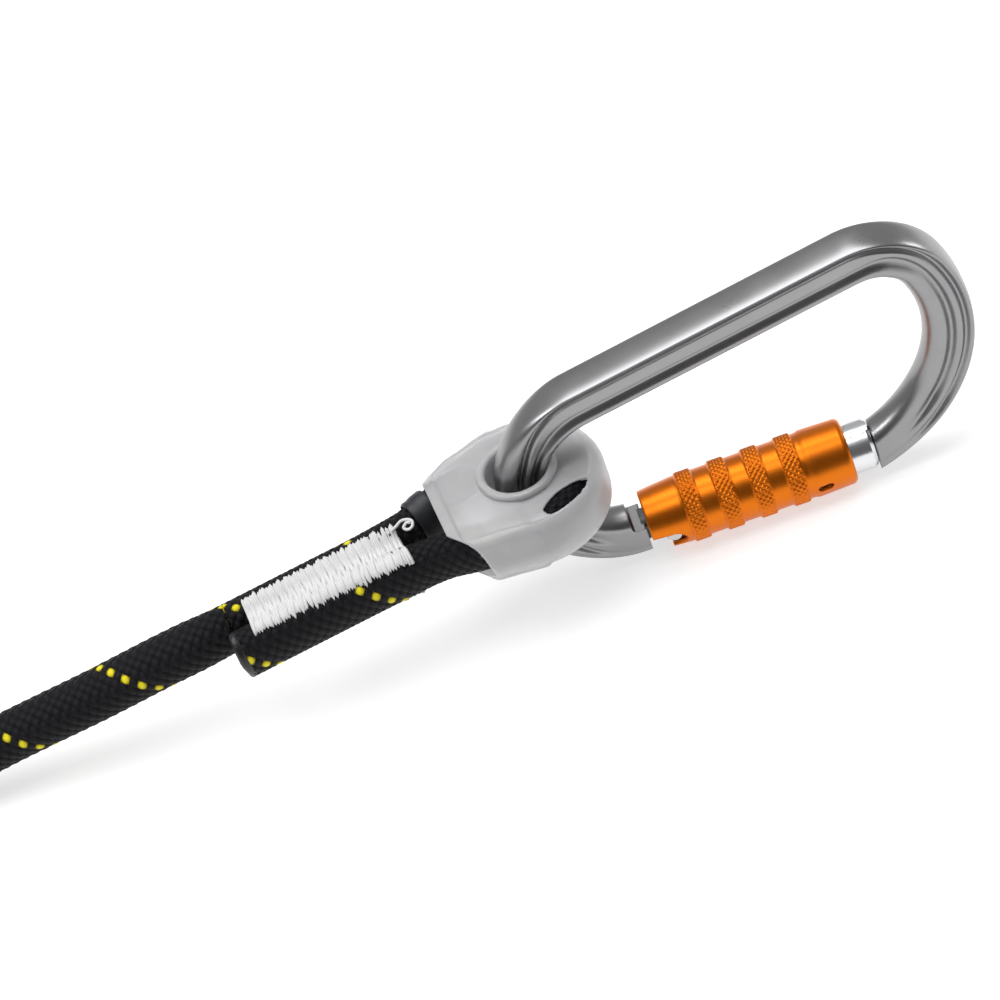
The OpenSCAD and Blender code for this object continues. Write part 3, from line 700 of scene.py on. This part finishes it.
def thimble_fields():
    """Signed fields of the cover and the hub on one grid, with the grid's low corner and step."""
    step = 0.3
    low = np.array([-22.8, -21.6, -9.3])
    n = np.array([144, 140, 63])
    axes = [low[k] + step * np.arange(n[k]) for k in range(3)]
    x, y, z = np.meshgrid(*axes, indexing="ij")

    def body(grow):
        """A round lobe and the two straight-sided legs, larger by grow on every side."""
        disc = np.hypot(x - DISC_AT[0], y - DISC_AT[1]) - DISC_R - grow
        disc = rounded_slab(disc, z, HALF_H + grow, 4.4)
        rear = np.maximum(side_of(REAR_SIDE, x, y, -1), side_of(REAR_CORNER, x, y, -1)) - grow
        front = side_of(FRONT_SIDE, x, y, 1) - grow
        legs = np.maximum(rounded_slab(np.maximum(rear, x - 0.6), z, HALF_H - 0.1 + grow, 5.0),
                          rounded_slab(np.maximum(front, x + 2.0), z, HALF_H - 0.1 + grow, 2.6))
        return softer(disc, legs, 1.6)

    outer = body(0.0)
    # a lip runs round the outline: the middle of each face stands a little lower
    outline = outer[:, :, n[2] // 2][:, :, None] + 0 * z
    mouth = MOUTH_X - x
    rim = np.maximum(outline, mouth)
    outer = outer + 0.42 * np.clip((-rim - 2.4) / 0.5, 0, 1) * (np.abs(z) > 4)
    # a second, shallower step on the lobe beside the running leg
    lobe = np.hypot(x + 13.0, y - 3.6)
    outer = outer + 0.16 * np.clip((6.0 - lobe) / 0.5, 0, 1) * (np.abs(z) > 4)
    inner = body(-WALL)
    hub = np.hypot(x, y) - HUB_R - 0.05
    shell = np.maximum(np.maximum(outer, -inner), -hub)
    # the mouth, cut back at an angle on the tail side, more so below
    back = unit(np.array([-6.2, -4.4]))
    slant = (x - MOUTH_CORNER[0]) * back[0] + (y - MOUTH_CORNER[1]) * back[1] + 0.15 * (HALF_H - z)
    shell = np.maximum(np.maximum(shell, mouth), slant)
    # leaf-shaped windows in both faces, blunt at one end
    c, s = cos(radians(LEAF_TURN)), sin(radians(LEAF_TURN))
    lx, ly = x - LEAF_AT[0], y - LEAF_AT[1]
    along, over = lx * c + ly * s, -lx * s + ly * c
    leaf = np.maximum(np.hypot(along - 0.9, over - LEAF_IN), np.hypot(along - 0.9, over + LEAF_IN)) - LEAF_R
    leaf = np.maximum(leaf, -(along + 4.8))
    leaf = np.maximum(leaf, 3.0 - np.abs(z))
    shell = np.maximum(shell, -leaf)
    # hub: a sleeve through the middle with a rounded collar at each face
    r = np.hypot(x, y)
    tube_wall = np.maximum(np.maximum(r - HUB_R, HOLE_R - r), np.abs(z) - HALF_H - 0.9)
    collar = np.hypot(r - (HOLE_R + 0.95), np.abs(z) - (HALF_H + 0.35)) - 1.0
    hub_field = softer(tube_wall, collar, 0.4)
    return shell, hub_field, low, step


shell_field, hub_field, net_low, net_step = thimble_fields()
for name, node, field in [("thimble_cover_shell", "thimble_cover", shell_field),
                          ("thimble_hub_ring", "thimble_hub", hub_field)]:
    points, faces = surface_net(field, net_low, net_step)
    piece = make(name, eye_to_part(points), faces)
    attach(piece, "rope_body")
    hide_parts(node)

# ---- stitching

TACK_X0, TACK_X1, TACK_LOW, TACK_HIGH = -29.6, -68.0, -9.9, 2.6
STITCH_PITCH, PER_STITCH = 2.0, 14
THREAD_R, LOOSE_R = 0.33, 0.36
LAYER_PHASES, FIRST_LIFT, LAYER_LIFT = (0.0, 1.35, 0.65, 0.3), 0.05, 0.13


def legs_top(x, y):
    """Height of the two legs' upper skin over the middle of the rope, at (x, y) of the eye's frame."""
    shift = 0.045 * np.clip(x + 40, 0, 18)
    best = np.zeros(np.broadcast(x, y).shape)
    for centre, sign in ((MAIN_Y, 1.0), (TAIL_Y, 0.3)):
        c = centre * (1 + shift * sign)
        d = np.clip(1 - ((y - c) / LEG[0]) ** 2, 0, 1)
        best = np.maximum(best, LEG[1] * np.sqrt(d))
    return best


def lay_on_legs(line, side, lift):
    """Lays (x, y) points on the legs' front or back, straight over the valley between them."""
    x, y = line[:, 0], line[:, 1]
    z = legs_top(x, y)
    # a thread spans the valley from crown to crown
    valley_low, valley_high = -4.3, -0.9
    span = (y > valley_low) & (y < valley_high)
    z0, z1 = legs_top(x, valley_low + 0 * y), legs_top(x, valley_high + 0 * y)
    t = (y - valley_low) / (valley_high - valley_low)
    z = np.where(span, np.maximum(z, z0 + (z1 - z0) * t - 0.3), z) + lift
    slope = np.where(x < SLOPE_FROM, (x - SLOPE_FROM) * tan(radians(SLOPE)), 0)
    return eye_to_part(np.stack([x, y, side * z + slope], -1))


def thread_rows(side, phase):
    """One pass of zigzag stitching, as a line of (x, y). Its low edge slants."""
    rows = int((TACK_X0 - TACK_X1) / (STITCH_PITCH / 2))
    line = []
    for k in range(rows + 1):
        x = TACK_X0 - k * STITCH_PITCH / 2 - phase + rng.normal(0, 0.09)
        x = max(min(x, TACK_X0), TACK_X1)
        slant = 0.6 - 1.4 * (x - TACK_X1) / (TACK_X0 - TACK_X1)
        low = TACK_LOW + slant + (1.3 if side < 0 else 0.0)
        y = (TACK_HIGH if k % 2 else low) + rng.normal(0, 0.22)
        line.append((x, y))
    return np.array(line)


def thread_path(line, side, lift):
    """The route of a thread along a zigzag of (x, y): it dives in at each corner."""
    points = []
    for (x0, y0), (x1, y1) in zip(line, line[1:]):
        t = np.arange(PER_STITCH) / PER_STITCH
        points.append(np.stack([x0 + (x1 - x0) * t, y0 + (y1 - y0) * t], -1))
    points = np.concatenate(points + [line[-1:]])
    t = (np.arange(len(points)) % PER_STITCH) / PER_STITCH
    dive = np.clip(1 - np.minimum(t, 1 - t) * PER_STITCH / 1.6, 0, 1)
    laid = lay_on_legs(points, side, lift - 0.55 * dive)
    # the corners are rounded so that the tube doesn't pinch
    laid[1:-1] = (laid[:-2] + 2 * laid[1:-1] + laid[2:]) / 4
    return laid


def round_tube(path, radius):
    """A plain round tube with frames carried along the path."""
    n = 7
    d = directions(path)
    normal = np.cross(d[0], [0.31, 0.2, 0.93])
    normal /= np.linalg.norm(normal)
    normals = []
    for k in range(len(path)):
        normal = normal - d[k] * np.dot(normal, d[k])
        normal /= np.linalg.norm(normal)
        normals.append(normal)
    normals = np.array(normals)
    other = np.cross(d, normals)
    a = 2 * np.pi * np.arange(n) / n
    ring = normals[:, None] * np.cos(a)[:, None] + other[:, None] * np.sin(a)[:, None]
    points = path[:, None] + radius * ring
    return points.reshape(-1, 3), closed_faces(len(path), n)


for name, node, side in [("stitching_front_thread", "stitching_front", 1),
                         ("stitching_back_thread", "stitching_back", -1)]:
    shapes = []
    for level, phase in enumerate(LAYER_PHASES):
        rows = thread_rows(side, phase)
        shapes.append(round_tube(thread_path(rows, side, FIRST_LIFT + LAYER_LIFT * level), THREAD_R))
    stitch = make(name, *join_parts(shapes))
    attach(stitch, "rope_body")
    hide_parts(node)

loose = [(-31.2, 0.2, 6.2), (-29.8, 0.1, 6.9), (-28.4, 0.4, 7.4), (-27.0, -0.2, 7.7), (-26.1, -1.3, 7.6),
         (-26.5, -2.6, 7.3), (-27.6, -2.7, 7.1), (-28.4, -1.9, 7.4), (-27.4, -1.3, 7.9), (-26.6, -1.9, 8.0)]
loose_path = eye_to_part(np.array([(x, y, z + fall(x)) for x, y, z in spline(loose, 0.3)]))
loose_thread = make("loose_thread", *round_tube(loose_path, LOOSE_R))
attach(loose_thread, "rope_body")
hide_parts("thread_end")

# ---- shrink band and rope ends


def ring_sleeve(path, sizes, wall, n, ripple):
    """An open sleeve round a path with rounded rims: an outer skin, rolled ends, an inner skin."""
    rows = len(path)
    side, up = sideways(directions(path))
    a = 2 * np.pi * np.arange(n) / n
    order = list(range(rows)) + list(range(rows))[::-1]
    points = []
    for index, k in enumerate(order):
        outer = index < rows
        edge = min(k, rows - 1 - k)
        roll = min(1.0, (edge + 0.6) / 2.6) ** 0.5
        grow = wall * roll if outer else 0.02
        waves = ripple * np.sin(3 * a + k * 0.6) * roll if outer else 0
        w, h = sizes[k][0] + grow, sizes[k][1] + grow
        points.append(path[k] + side[k] * ((w + waves) * np.cos(a))[:, None]
                      + up[k] * ((h + waves) * np.sin(a))[:, None])
    faces = []
    total = len(order)
    for k in range(total):
        m = (k + 1) % total
        faces += [[k * n + (i + 1) % n, k * n + i, m * n + i, m * n + (i + 1) % n] for i in range(n)]
    return np.concatenate(points), faces


# the sleeve on the running leg, just behind the thimble's mouth
band_control = [(-20.7, 6.0), (-22.2, 5.35), (-24, 4.6), (-25.6, 4.09)]
band_path = eye_to_part(spline([eye_point(x, y) for x, y in band_control], 0.3))
band_sizes = [(LEG[0] + 0.02, LEG[1])] * len(band_path)
band = make("shrink_band_sleeve", *ring_sleeve(band_path, band_sizes, 0.5, 72, 0.05))
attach(band, "rope_body")
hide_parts("shrink_band")


def rope_cap(path_end, direction, size, length, seed):
    """A melted rope end: a low dome with an uneven skin, and a small bead round its rim."""
    n = 64
    noise = np.random.default_rng(seed)
    side, up = sideways(direction)
    a = 2 * np.pi * np.arange(n) / n
    bumps = sum(noise.normal(0, 0.05) * np.cos(m * a + noise.uniform(0, 6.3)) for m in range(2, 9))
    rings = [(1.0, -0.6), (1.02, 0.0), (1.03, 0.35), (1.0, 0.75), (0.93, 1.05), (0.8, 1.2), (0.6, 1.28),
             (0.4, 1.3), (0.2, 1.3)]
    points = []
    for scale, out in rings:
        rough = bumps * (0.5 + 0.5 * (scale < 0.95))
        r = scale * (1 + rough * 0.25)
        points.append(path_end + direction * (out * length + rough[:, None] * 0.8)
                      + side * (r * size[0] * np.cos(a))[:, None] + up * (r * size[1] * np.sin(a))[:, None])
    return np.concatenate(points), [f[::-1] for f in closed_faces(len(rings), n)]


tail_dir = unit(sewn_path[-1] - sewn_path[-4])
tail_cap = make("tail_end_melt", *rope_cap(sewn_path[-1], tail_dir, LEG, 1.1, 3))
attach(tail_cap, "rope_body")
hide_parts("tail_end_seal")

END_ROWS, END_SLEEVE_X, END_CAP_X = 60, (-246, -222), -222.6
end_path = np.linspace((END_SLEEVE_X[0], END_Y, END_Z), (END_SLEEVE_X[1], END_Y, END_Z), END_ROWS)
end_sleeve = make("rope_end_shrink", *ring_sleeve(end_path, [(ROPE_R, ROPE_R)] * END_ROWS, 0.36, 72, 0.03))
end_cap = make("rope_end_melt", *rope_cap(np.array([END_CAP_X, END_Y, END_Z]), np.array([1.0, 0, 0]),
                                          (ROPE_R - SKIN_IN, ROPE_R - SKIN_IN), 0.5, 4))
for piece, slot in ((end_sleeve, "shrink_black"), (end_cap, "rope_seal")):
    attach(piece, "rope_body")
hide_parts("rope_end_sleeve")

# ---- hank ties


def tie_loop(y_low, y_high):
    """A webbing band round a two by two bundle."""
    z_low, z_high, thick, wide, corner = 1.2, 25.2, 1.0, 14.0, 4.6
    y0, y1 = y_low + corner, y_high - corner
    z0, z1 = z_low + corner, z_high - corner
    line = []
    for cy, cz, a0 in ((y1, z0, -90), (y1, z1, 0), (y0, z1, 90), (y0, z0, 180)):
        line += [(cy + corner * cos(radians(a0 + t)), cz + corner * sin(radians(a0 + t)))
                 for t in range(0, 91, 9)]
    line = np.array(line)
    n = len(line)
    tangent = unit(np.roll(line, -1, 0) - np.roll(line, 1, 0))
    out = np.stack([tangent[:, 1], -tangent[:, 0]], -1)
    x0 = -270.0
    across = np.linspace(-1, 1, 15)
    profile = [(u * wide / 2, 1.0 - 0.35 * abs(u) ** 6) for u in across] \
        + [(u * wide / 2, 0.06) for u in across[::-1]]
    points = []
    for u, w in profile:
        flat = line + out * w * thick
        points.append(np.stack([np.full(n, x0 + u), flat[:, 0], flat[:, 1]], -1))
    m = len(profile)
    faces = [[k * n + i, k * n + (i + 1) % n, ((k + 1) % m) * n + (i + 1) % n, ((k + 1) % m) * n + i]
             for k in range(m) for i in range(n)]
    return np.concatenate(points), [f[::-1] for f in faces]


ties = make("hank_tie_bands", *join_parts([tie_loop(-18.2, 6.2), tie_loop(65.8, 90.2)]))
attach(ties, "rope_body")
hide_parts("hank_ties")

# ---- materials


class Nodes:
    """Short names for building one material's nodes."""

    def __init__(self, name):
        self.material = bpy.data.materials.new(name)
        self.material.use_nodes = True
        self.tree = self.material.node_tree
        self.tree.nodes.clear()
        self.out = self.tree.nodes.new("ShaderNodeOutputMaterial")
        self.bsdf = self.tree.nodes.new("ShaderNodeBsdfPrincipled")
        self.tree.links.new(self.bsdf.outputs[0], self.out.inputs[0])

    def link(self, a, b):
        self.tree.links.new(a, b)

    def set(self, **values):
        for key, value in values.items():
            self.bsdf.inputs[key.replace("_", " ")].default_value = value

    def math(self, operation, a, b=None, c=None):
        node = self.tree.nodes.new("ShaderNodeMath")
        node.operation = operation
        for k, v in enumerate((a, b, c)):
            if v is None:
                continue
            if isinstance(v, (int, float)):
                node.inputs[k].default_value = v
            else:
                self.link(v, node.inputs[k])
        return node.outputs[0]

    def add(self, a, b):
        return self.math("ADD", a, b)

    def sub(self, a, b):
        return self.math("SUBTRACT", a, b)

    def mul(self, a, b):
        return self.math("MULTIPLY", a, b)

    def coords(self):
        return self.tree.nodes.new("ShaderNodeTexCoord").outputs["Object"]

    def noise(self, scale, detail=3.0, rough=0.5):
        node = self.tree.nodes.new("ShaderNodeTexNoise")
        node.inputs["Scale"].default_value = scale
        node.inputs["Detail"].default_value = detail
        node.inputs["Roughness"].default_value = rough
        self.link(self.coords(), node.inputs["Vector"])
        return node.outputs[0]

    def wave(self, direction, scale, distortion):
        node = self.tree.nodes.new("ShaderNodeTexWave")
        node.wave_type = "BANDS"
        node.bands_direction = direction
        node.inputs["Scale"].default_value = scale
        node.inputs["Distortion"].default_value = distortion
        self.link(self.coords(), node.inputs["Vector"])
        return node.outputs[1]

    def ramp(self, fac, stops):
        node = self.tree.nodes.new("ShaderNodeValToRGB")
        elements = node.color_ramp.elements
        while len(elements) < len(stops):
            elements.new(0.5)
        for element, (place_at, colour) in zip(elements, stops):
            element.position = place_at
            element.color = (*colour, 1) if isinstance(colour, tuple) else (colour,) * 3 + (1,)
        self.link(fac, node.inputs[0])
        return node.outputs[0]

    def mix(self, fac, a, b):
        node = self.tree.nodes.new("ShaderNodeMix")
        node.data_type = "RGBA"
        for socket, v in ((node.inputs[0], fac), (node.inputs[6], a), (node.inputs[7], b)):
            if isinstance(v, tuple):
                socket.default_value = (*v, 1)
            elif isinstance(v, (int, float)):
                socket.default_value = v
            else:
                self.link(v, socket)
        return node.outputs[2]

    def bump(self, height, strength, distance, before=None):
        node = self.tree.nodes.new("ShaderNodeBump")
        node.inputs["Strength"].default_value = strength
        node.inputs["Distance"].default_value = distance
        self.link(height, node.inputs["Height"])
        if before is not None:
            self.link(before, node.inputs["Normal"])
        return node.outputs[0]

    def finish(self, colour=None, rough=None, normal=None):
        for key, value in (("Base Color", colour), ("Roughness", rough), ("Normal", normal)):
            if value is not None:
                self.link(value, self.bsdf.inputs[key])
        return self.material


def metal(name, dark, light, rough, grain):
    """A satin metal: cloudy colour, fine blasted grain, and small rougher specks."""
    m = Nodes(name)
    m.set(Metallic=1.0)
    cloud = m.noise(90.0, 4.0, 0.6)
    fine = m.noise(4200.0, 2.0, 0.6)
    colour = m.mix(cloud, dark, light)
    speck = m.ramp(m.noise(1500.0, 3.0, 0.7), [(0.42, 0.0), (0.75, 1.0)])
    roughness = m.add(m.mul(cloud, 0.12), m.mul(speck, 0.05))
    roughness = m.add(roughness, rough - 0.08)
    return m.finish(colour, roughness, m.bump(fine, grain, 0.00006))


def rope_material():
    """The braid of braid() again, as colour and fine relief: dark strands, one yellow tracer, both with
    painted shade in the braid's hollows.
    """
    m = Nodes("rope_braid")
    pin = m.tree.nodes.new("ShaderNodeUVMap")
    pin.uv_map = "braid"
    split = m.tree.nodes.new("ShaderNodeSeparateXYZ")
    m.link(pin.outputs[0], split.inputs[0])
    turn, along = split.outputs[0], split.outputs[1]
    a = m.mul(m.add(turn, along), STRANDS)
    b = m.mul(m.sub(turn, along), STRANDS)
    i, j = m.math("FLOOR", a), m.math("FLOOR", b)
    fa, fb = m.sub(a, i), m.sub(b, j)

    def over(across, index, shift):
        inner = m.mul(m.add(m.add(across, index), shift), pi)
        return m.mul(m.math("COSINE", inner), 0.55)

    def rounded(f):
        v = m.sub(m.mul(f, 2.0), 1.0)
        v = m.sub(1.0, m.mul(m.mul(v, v), 0.9))
        return m.math("SQRT", v)

    height_a = m.add(over(b, i, -0.5), rounded(fa))
    height_b = m.add(over(a, j, -1.5), rounded(fb))
    top_a = m.math("GREATER_THAN", height_a, height_b)
    height = m.math("MAXIMUM", height_a, height_b)
    # yarns run along each strand
    across = m.add(m.mul(top_a, fa),
                    m.mul(m.sub(1.0, top_a), fb))
    yarn = m.math("SINE", m.mul(across, 2 * pi * 4))
    fuzz = m.noise(2600.0, 4.0, 0.7)
    # one strand is the tracer
    strand = m.math("FLOORED_MODULO", i, float(STRANDS))
    marker = m.mul(m.math("COMPARE", strand, float(TRACER), 0.1), top_a)
    # colour follows the braid's height: darkest down between the strands, painted shade, and a little
    # lighter on their tops, as wear and dust; the tracer's yellow is painted darker in the hollows the same
    # way, which also keeps its dots small
    level = m.math("DIVIDE", height, 1.55)
    shade = m.ramp(level, [(0.35, (0.001, 0.001, 0.0015)), (0.8, (0.0045, 0.0045, 0.006)),
                           (1.0, (0.009, 0.009, 0.012))])
    cloud = m.noise(160.0, 3.0, 0.6)
    shade = m.mix(m.mul(cloud, 0.5), shade, (0.005, 0.005, 0.006))
    tracer = m.ramp(level, [(0.55, (0.10, 0.08, 0.0)), (0.8, (0.62, 0.52, 0.01)),
                            (1.0, (0.80, 0.72, 0.03))])
    colour = m.mix(marker, shade, tracer)
    m.set(Roughness=0.62, Sheen_Weight=0.0, Specular_IOR_Level=0.16)
    bumped = m.bump(height, 0.55, 0.0004)
    fine = m.add(m.mul(yarn, 0.5), m.mul(fuzz, 0.9))
    return m.finish(colour, None, m.bump(fine, 0.5, 0.00007, bumped))


def thread_material():
    m = Nodes("stitch_thread")
    fuzz = m.noise(2400.0, 3.0, 0.6)
    colour = m.mix(m.noise(260.0, 3.0, 0.6), (0.62, 0.62, 0.62), (0.76, 0.76, 0.76))
    m.set(Roughness=0.6, Sheen_Weight=0.3, Sheen_Roughness=0.4, Subsurface_Weight=0.1,
          Subsurface_Scale=0.0008, Subsurface_Radius=(1.0, 1.0, 1.0))
    return m.finish(colour, None, m.bump(fuzz, 0.6, 0.0001))


def frosted_plastic():
    m = Nodes("frosted_plastic")
    cloud = m.noise(70.0, 4.0, 0.55)
    fine = m.noise(1800.0, 3.0, 0.6)
    colour = m.mix(cloud, (0.74, 0.74, 0.755), (0.92, 0.92, 0.93))
    rough = m.add(m.mul(cloud, 0.14), 0.26)
    m.set(IOR=1.46, Transmission_Weight=0.62, Subsurface_Weight=0.25, Subsurface_Scale=0.002,
          Subsurface_Radius=(1.0, 1.0, 1.0), Specular_IOR_Level=0.5)
    return m.finish(colour, rough, m.bump(fine, 0.12, 0.00008))


def rubber(name, dark, light, rough, grain=0.2):
    m = Nodes(name)
    cloud = m.noise(120.0, 4.0, 0.6)
    fine = m.noise(1500.0, 3.0, 0.6)
    m.set(Specular_IOR_Level=0.45)
    roughness = m.add(m.mul(cloud, 0.16), rough)
    return m.finish(m.mix(cloud, dark, light), roughness, m.bump(fine, grain, 0.0001))


def webbing():
    m = Nodes("tie_webbing_weave")
    height = m.add(m.mul(m.wave("X", 320.0, 0.6), 0.7),
                    m.mul(m.wave("DIAGONAL", 260.0, 0.8), 0.5))
    # colour follows the weave's relief: darker down in its grooves, painted shade, lighter on its ridges
    colour = m.ramp(height, [(0.2, (0.012, 0.013, 0.016)), (0.9, (0.05, 0.052, 0.06))])
    m.set(Roughness=0.7, Sheen_Weight=0.2)
    return m.finish(colour, None, m.bump(height, 0.6, 0.0003))


def floor_material():
    m = Nodes("studio_floor")
    colour = m.mix(m.noise(4.0, 2.0, 0.5), (0.52, 0.52, 0.52), (0.55, 0.55, 0.55))
    m.set(Roughness=0.9, Specular_IOR_Level=0.1, Emission_Color=(1, 1, 1, 1), Emission_Strength=0.62)
    return m.finish(colour)


frame_alloy = metal("frame_alloy_satin", (0.27, 0.27, 0.275), (0.33, 0.33, 0.335), 0.31, 0.06)
gate_alloy = metal("gate_alloy_bright", (0.72, 0.73, 0.75), (0.80, 0.81, 0.83), 0.24, 0.1)
steel = metal("steel_plain", (0.55, 0.55, 0.55), (0.66, 0.66, 0.66), 0.26, 0.1)
orange = metal("orange_anodised", (0.66, 0.150, 0.008), (0.78, 0.200, 0.014), 0.36, 0.06)
braid_skin = rope_material()
thread = thread_material()
plastic = frosted_plastic()
shrink = rubber("shrink_tube", (0.012, 0.013, 0.017), (0.020, 0.021, 0.026), 0.38)
seal = rubber("melted_nylon", (0.006, 0.006, 0.007), (0.013, 0.013, 0.014), 0.25, 0.6)
bush = rubber("bush_acetal", (0.05, 0.05, 0.055), (0.075, 0.075, 0.08), 0.4)
tie_skin = webbing()


def wear(obj, material):
    obj.data.materials.clear()
    obj.data.materials.append(material)


for material, pieces in [(braid_skin, ("free_rope_braid", "running_leg_braid", "rope_eye_braid",
                                       "tail_leg_braid")),
                         (thread, ("stitching_front_thread", "stitching_back_thread", "loose_thread")),
                         (plastic, ("thimble_cover_shell", "thimble_hub_ring")),
                         (frame_alloy, ("carabiner_bar",)), (orange, ("locking_sleeve_skin",)),
                         (gate_alloy, ("gate_key_cover",)), (tie_skin, ("hank_tie_bands",)),
                         (shrink, ("shrink_band_sleeve", "rope_end_shrink")),
                         (seal, ("tail_end_melt", "rope_end_melt"))]:
    for name in pieces:
        wear(bpy.data.objects[name], material)
for material, nodes in [(steel, ("hinge_rivet", "gate_spring", "gate_plunger", "guide_pin",
                                 "retaining_ring", "sleeve_spring")),
                        (gate_alloy, ("gate_body",)), (bush, ("slide_bush",))]:
    for node in nodes:
        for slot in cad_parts[node].material_slots:
            slot.material = material

# ---- floor and light

floor_mesh = bpy.data.meshes.new("studio_floor")
FLOOR = 6
floor_mesh.from_pydata([(-FLOOR, -FLOOR, 0), (FLOOR, -FLOOR, 0), (FLOOR, FLOOR, 0), (-FLOOR, FLOOR, 0)],
                       [], [(0, 1, 2, 3)])
floor = bpy.data.objects.new("studio_floor", floor_mesh)
bpy.context.scene.collection.objects.link(floor)
wear(floor, floor_material())


def area_light(name, at, aim, size, power):
    data = bpy.data.lights.new(name, "AREA")
    data.shape = "RECTANGLE"
    data.size, data.size_y = size, size
    data.energy = power
    light = bpy.data.objects.new(name, data)
    light.location = at
    light.rotation_euler = (Vector(aim) - Vector(at)).to_track_quat("-Z", "Y").to_euler()
    bpy.context.scene.collection.objects.link(light)


def studio_world():
    """Dim towards the camera's side, brighter behind and above, so that bevels and grooves show."""
    world = bpy.data.worlds.new("studio")
    world.use_nodes = True
    tree = world.node_tree
    back = tree.nodes["Background"]
    split = tree.nodes.new("ShaderNodeSeparateXYZ")
    tree.links.new(tree.nodes.new("ShaderNodeTexCoord").outputs["Generated"], split.inputs[0])

    def part(axis, stops):
        """A map range over one axis: from low, from high, to low, to high."""
        node = tree.nodes.new("ShaderNodeMapRange")
        tree.links.new(split.outputs[axis], node.inputs[0])
        for k, v in enumerate(stops):
            node.inputs[k + 1].default_value = v
        return node.outputs[0]

    add = tree.nodes.new("ShaderNodeMath")
    tree.links.new(part(1, (-0.8, 0.7, 0.13, 0.48)), add.inputs[0])
    tree.links.new(part(2, (0.82, 0.98, 0.0, 0.6)), add.inputs[1])
    tree.links.new(add.outputs[0], back.inputs[1])
    back.inputs[0].default_value = (1, 1, 1, 1)
    bpy.context.scene.world = world


studio_world()
area_light("overhead", (-0.1, 0.15, 1.2), (0, 0, 0), 1.1, 11.0)
area_light("left_key", (-0.7, -0.1, 0.7), (0, 0, 0.03), 0.35, 2.6)
area_light("right_rim", (0.9, 0.25, 0.35), (0.03, 0, 0.03), 0.3, 1.3)
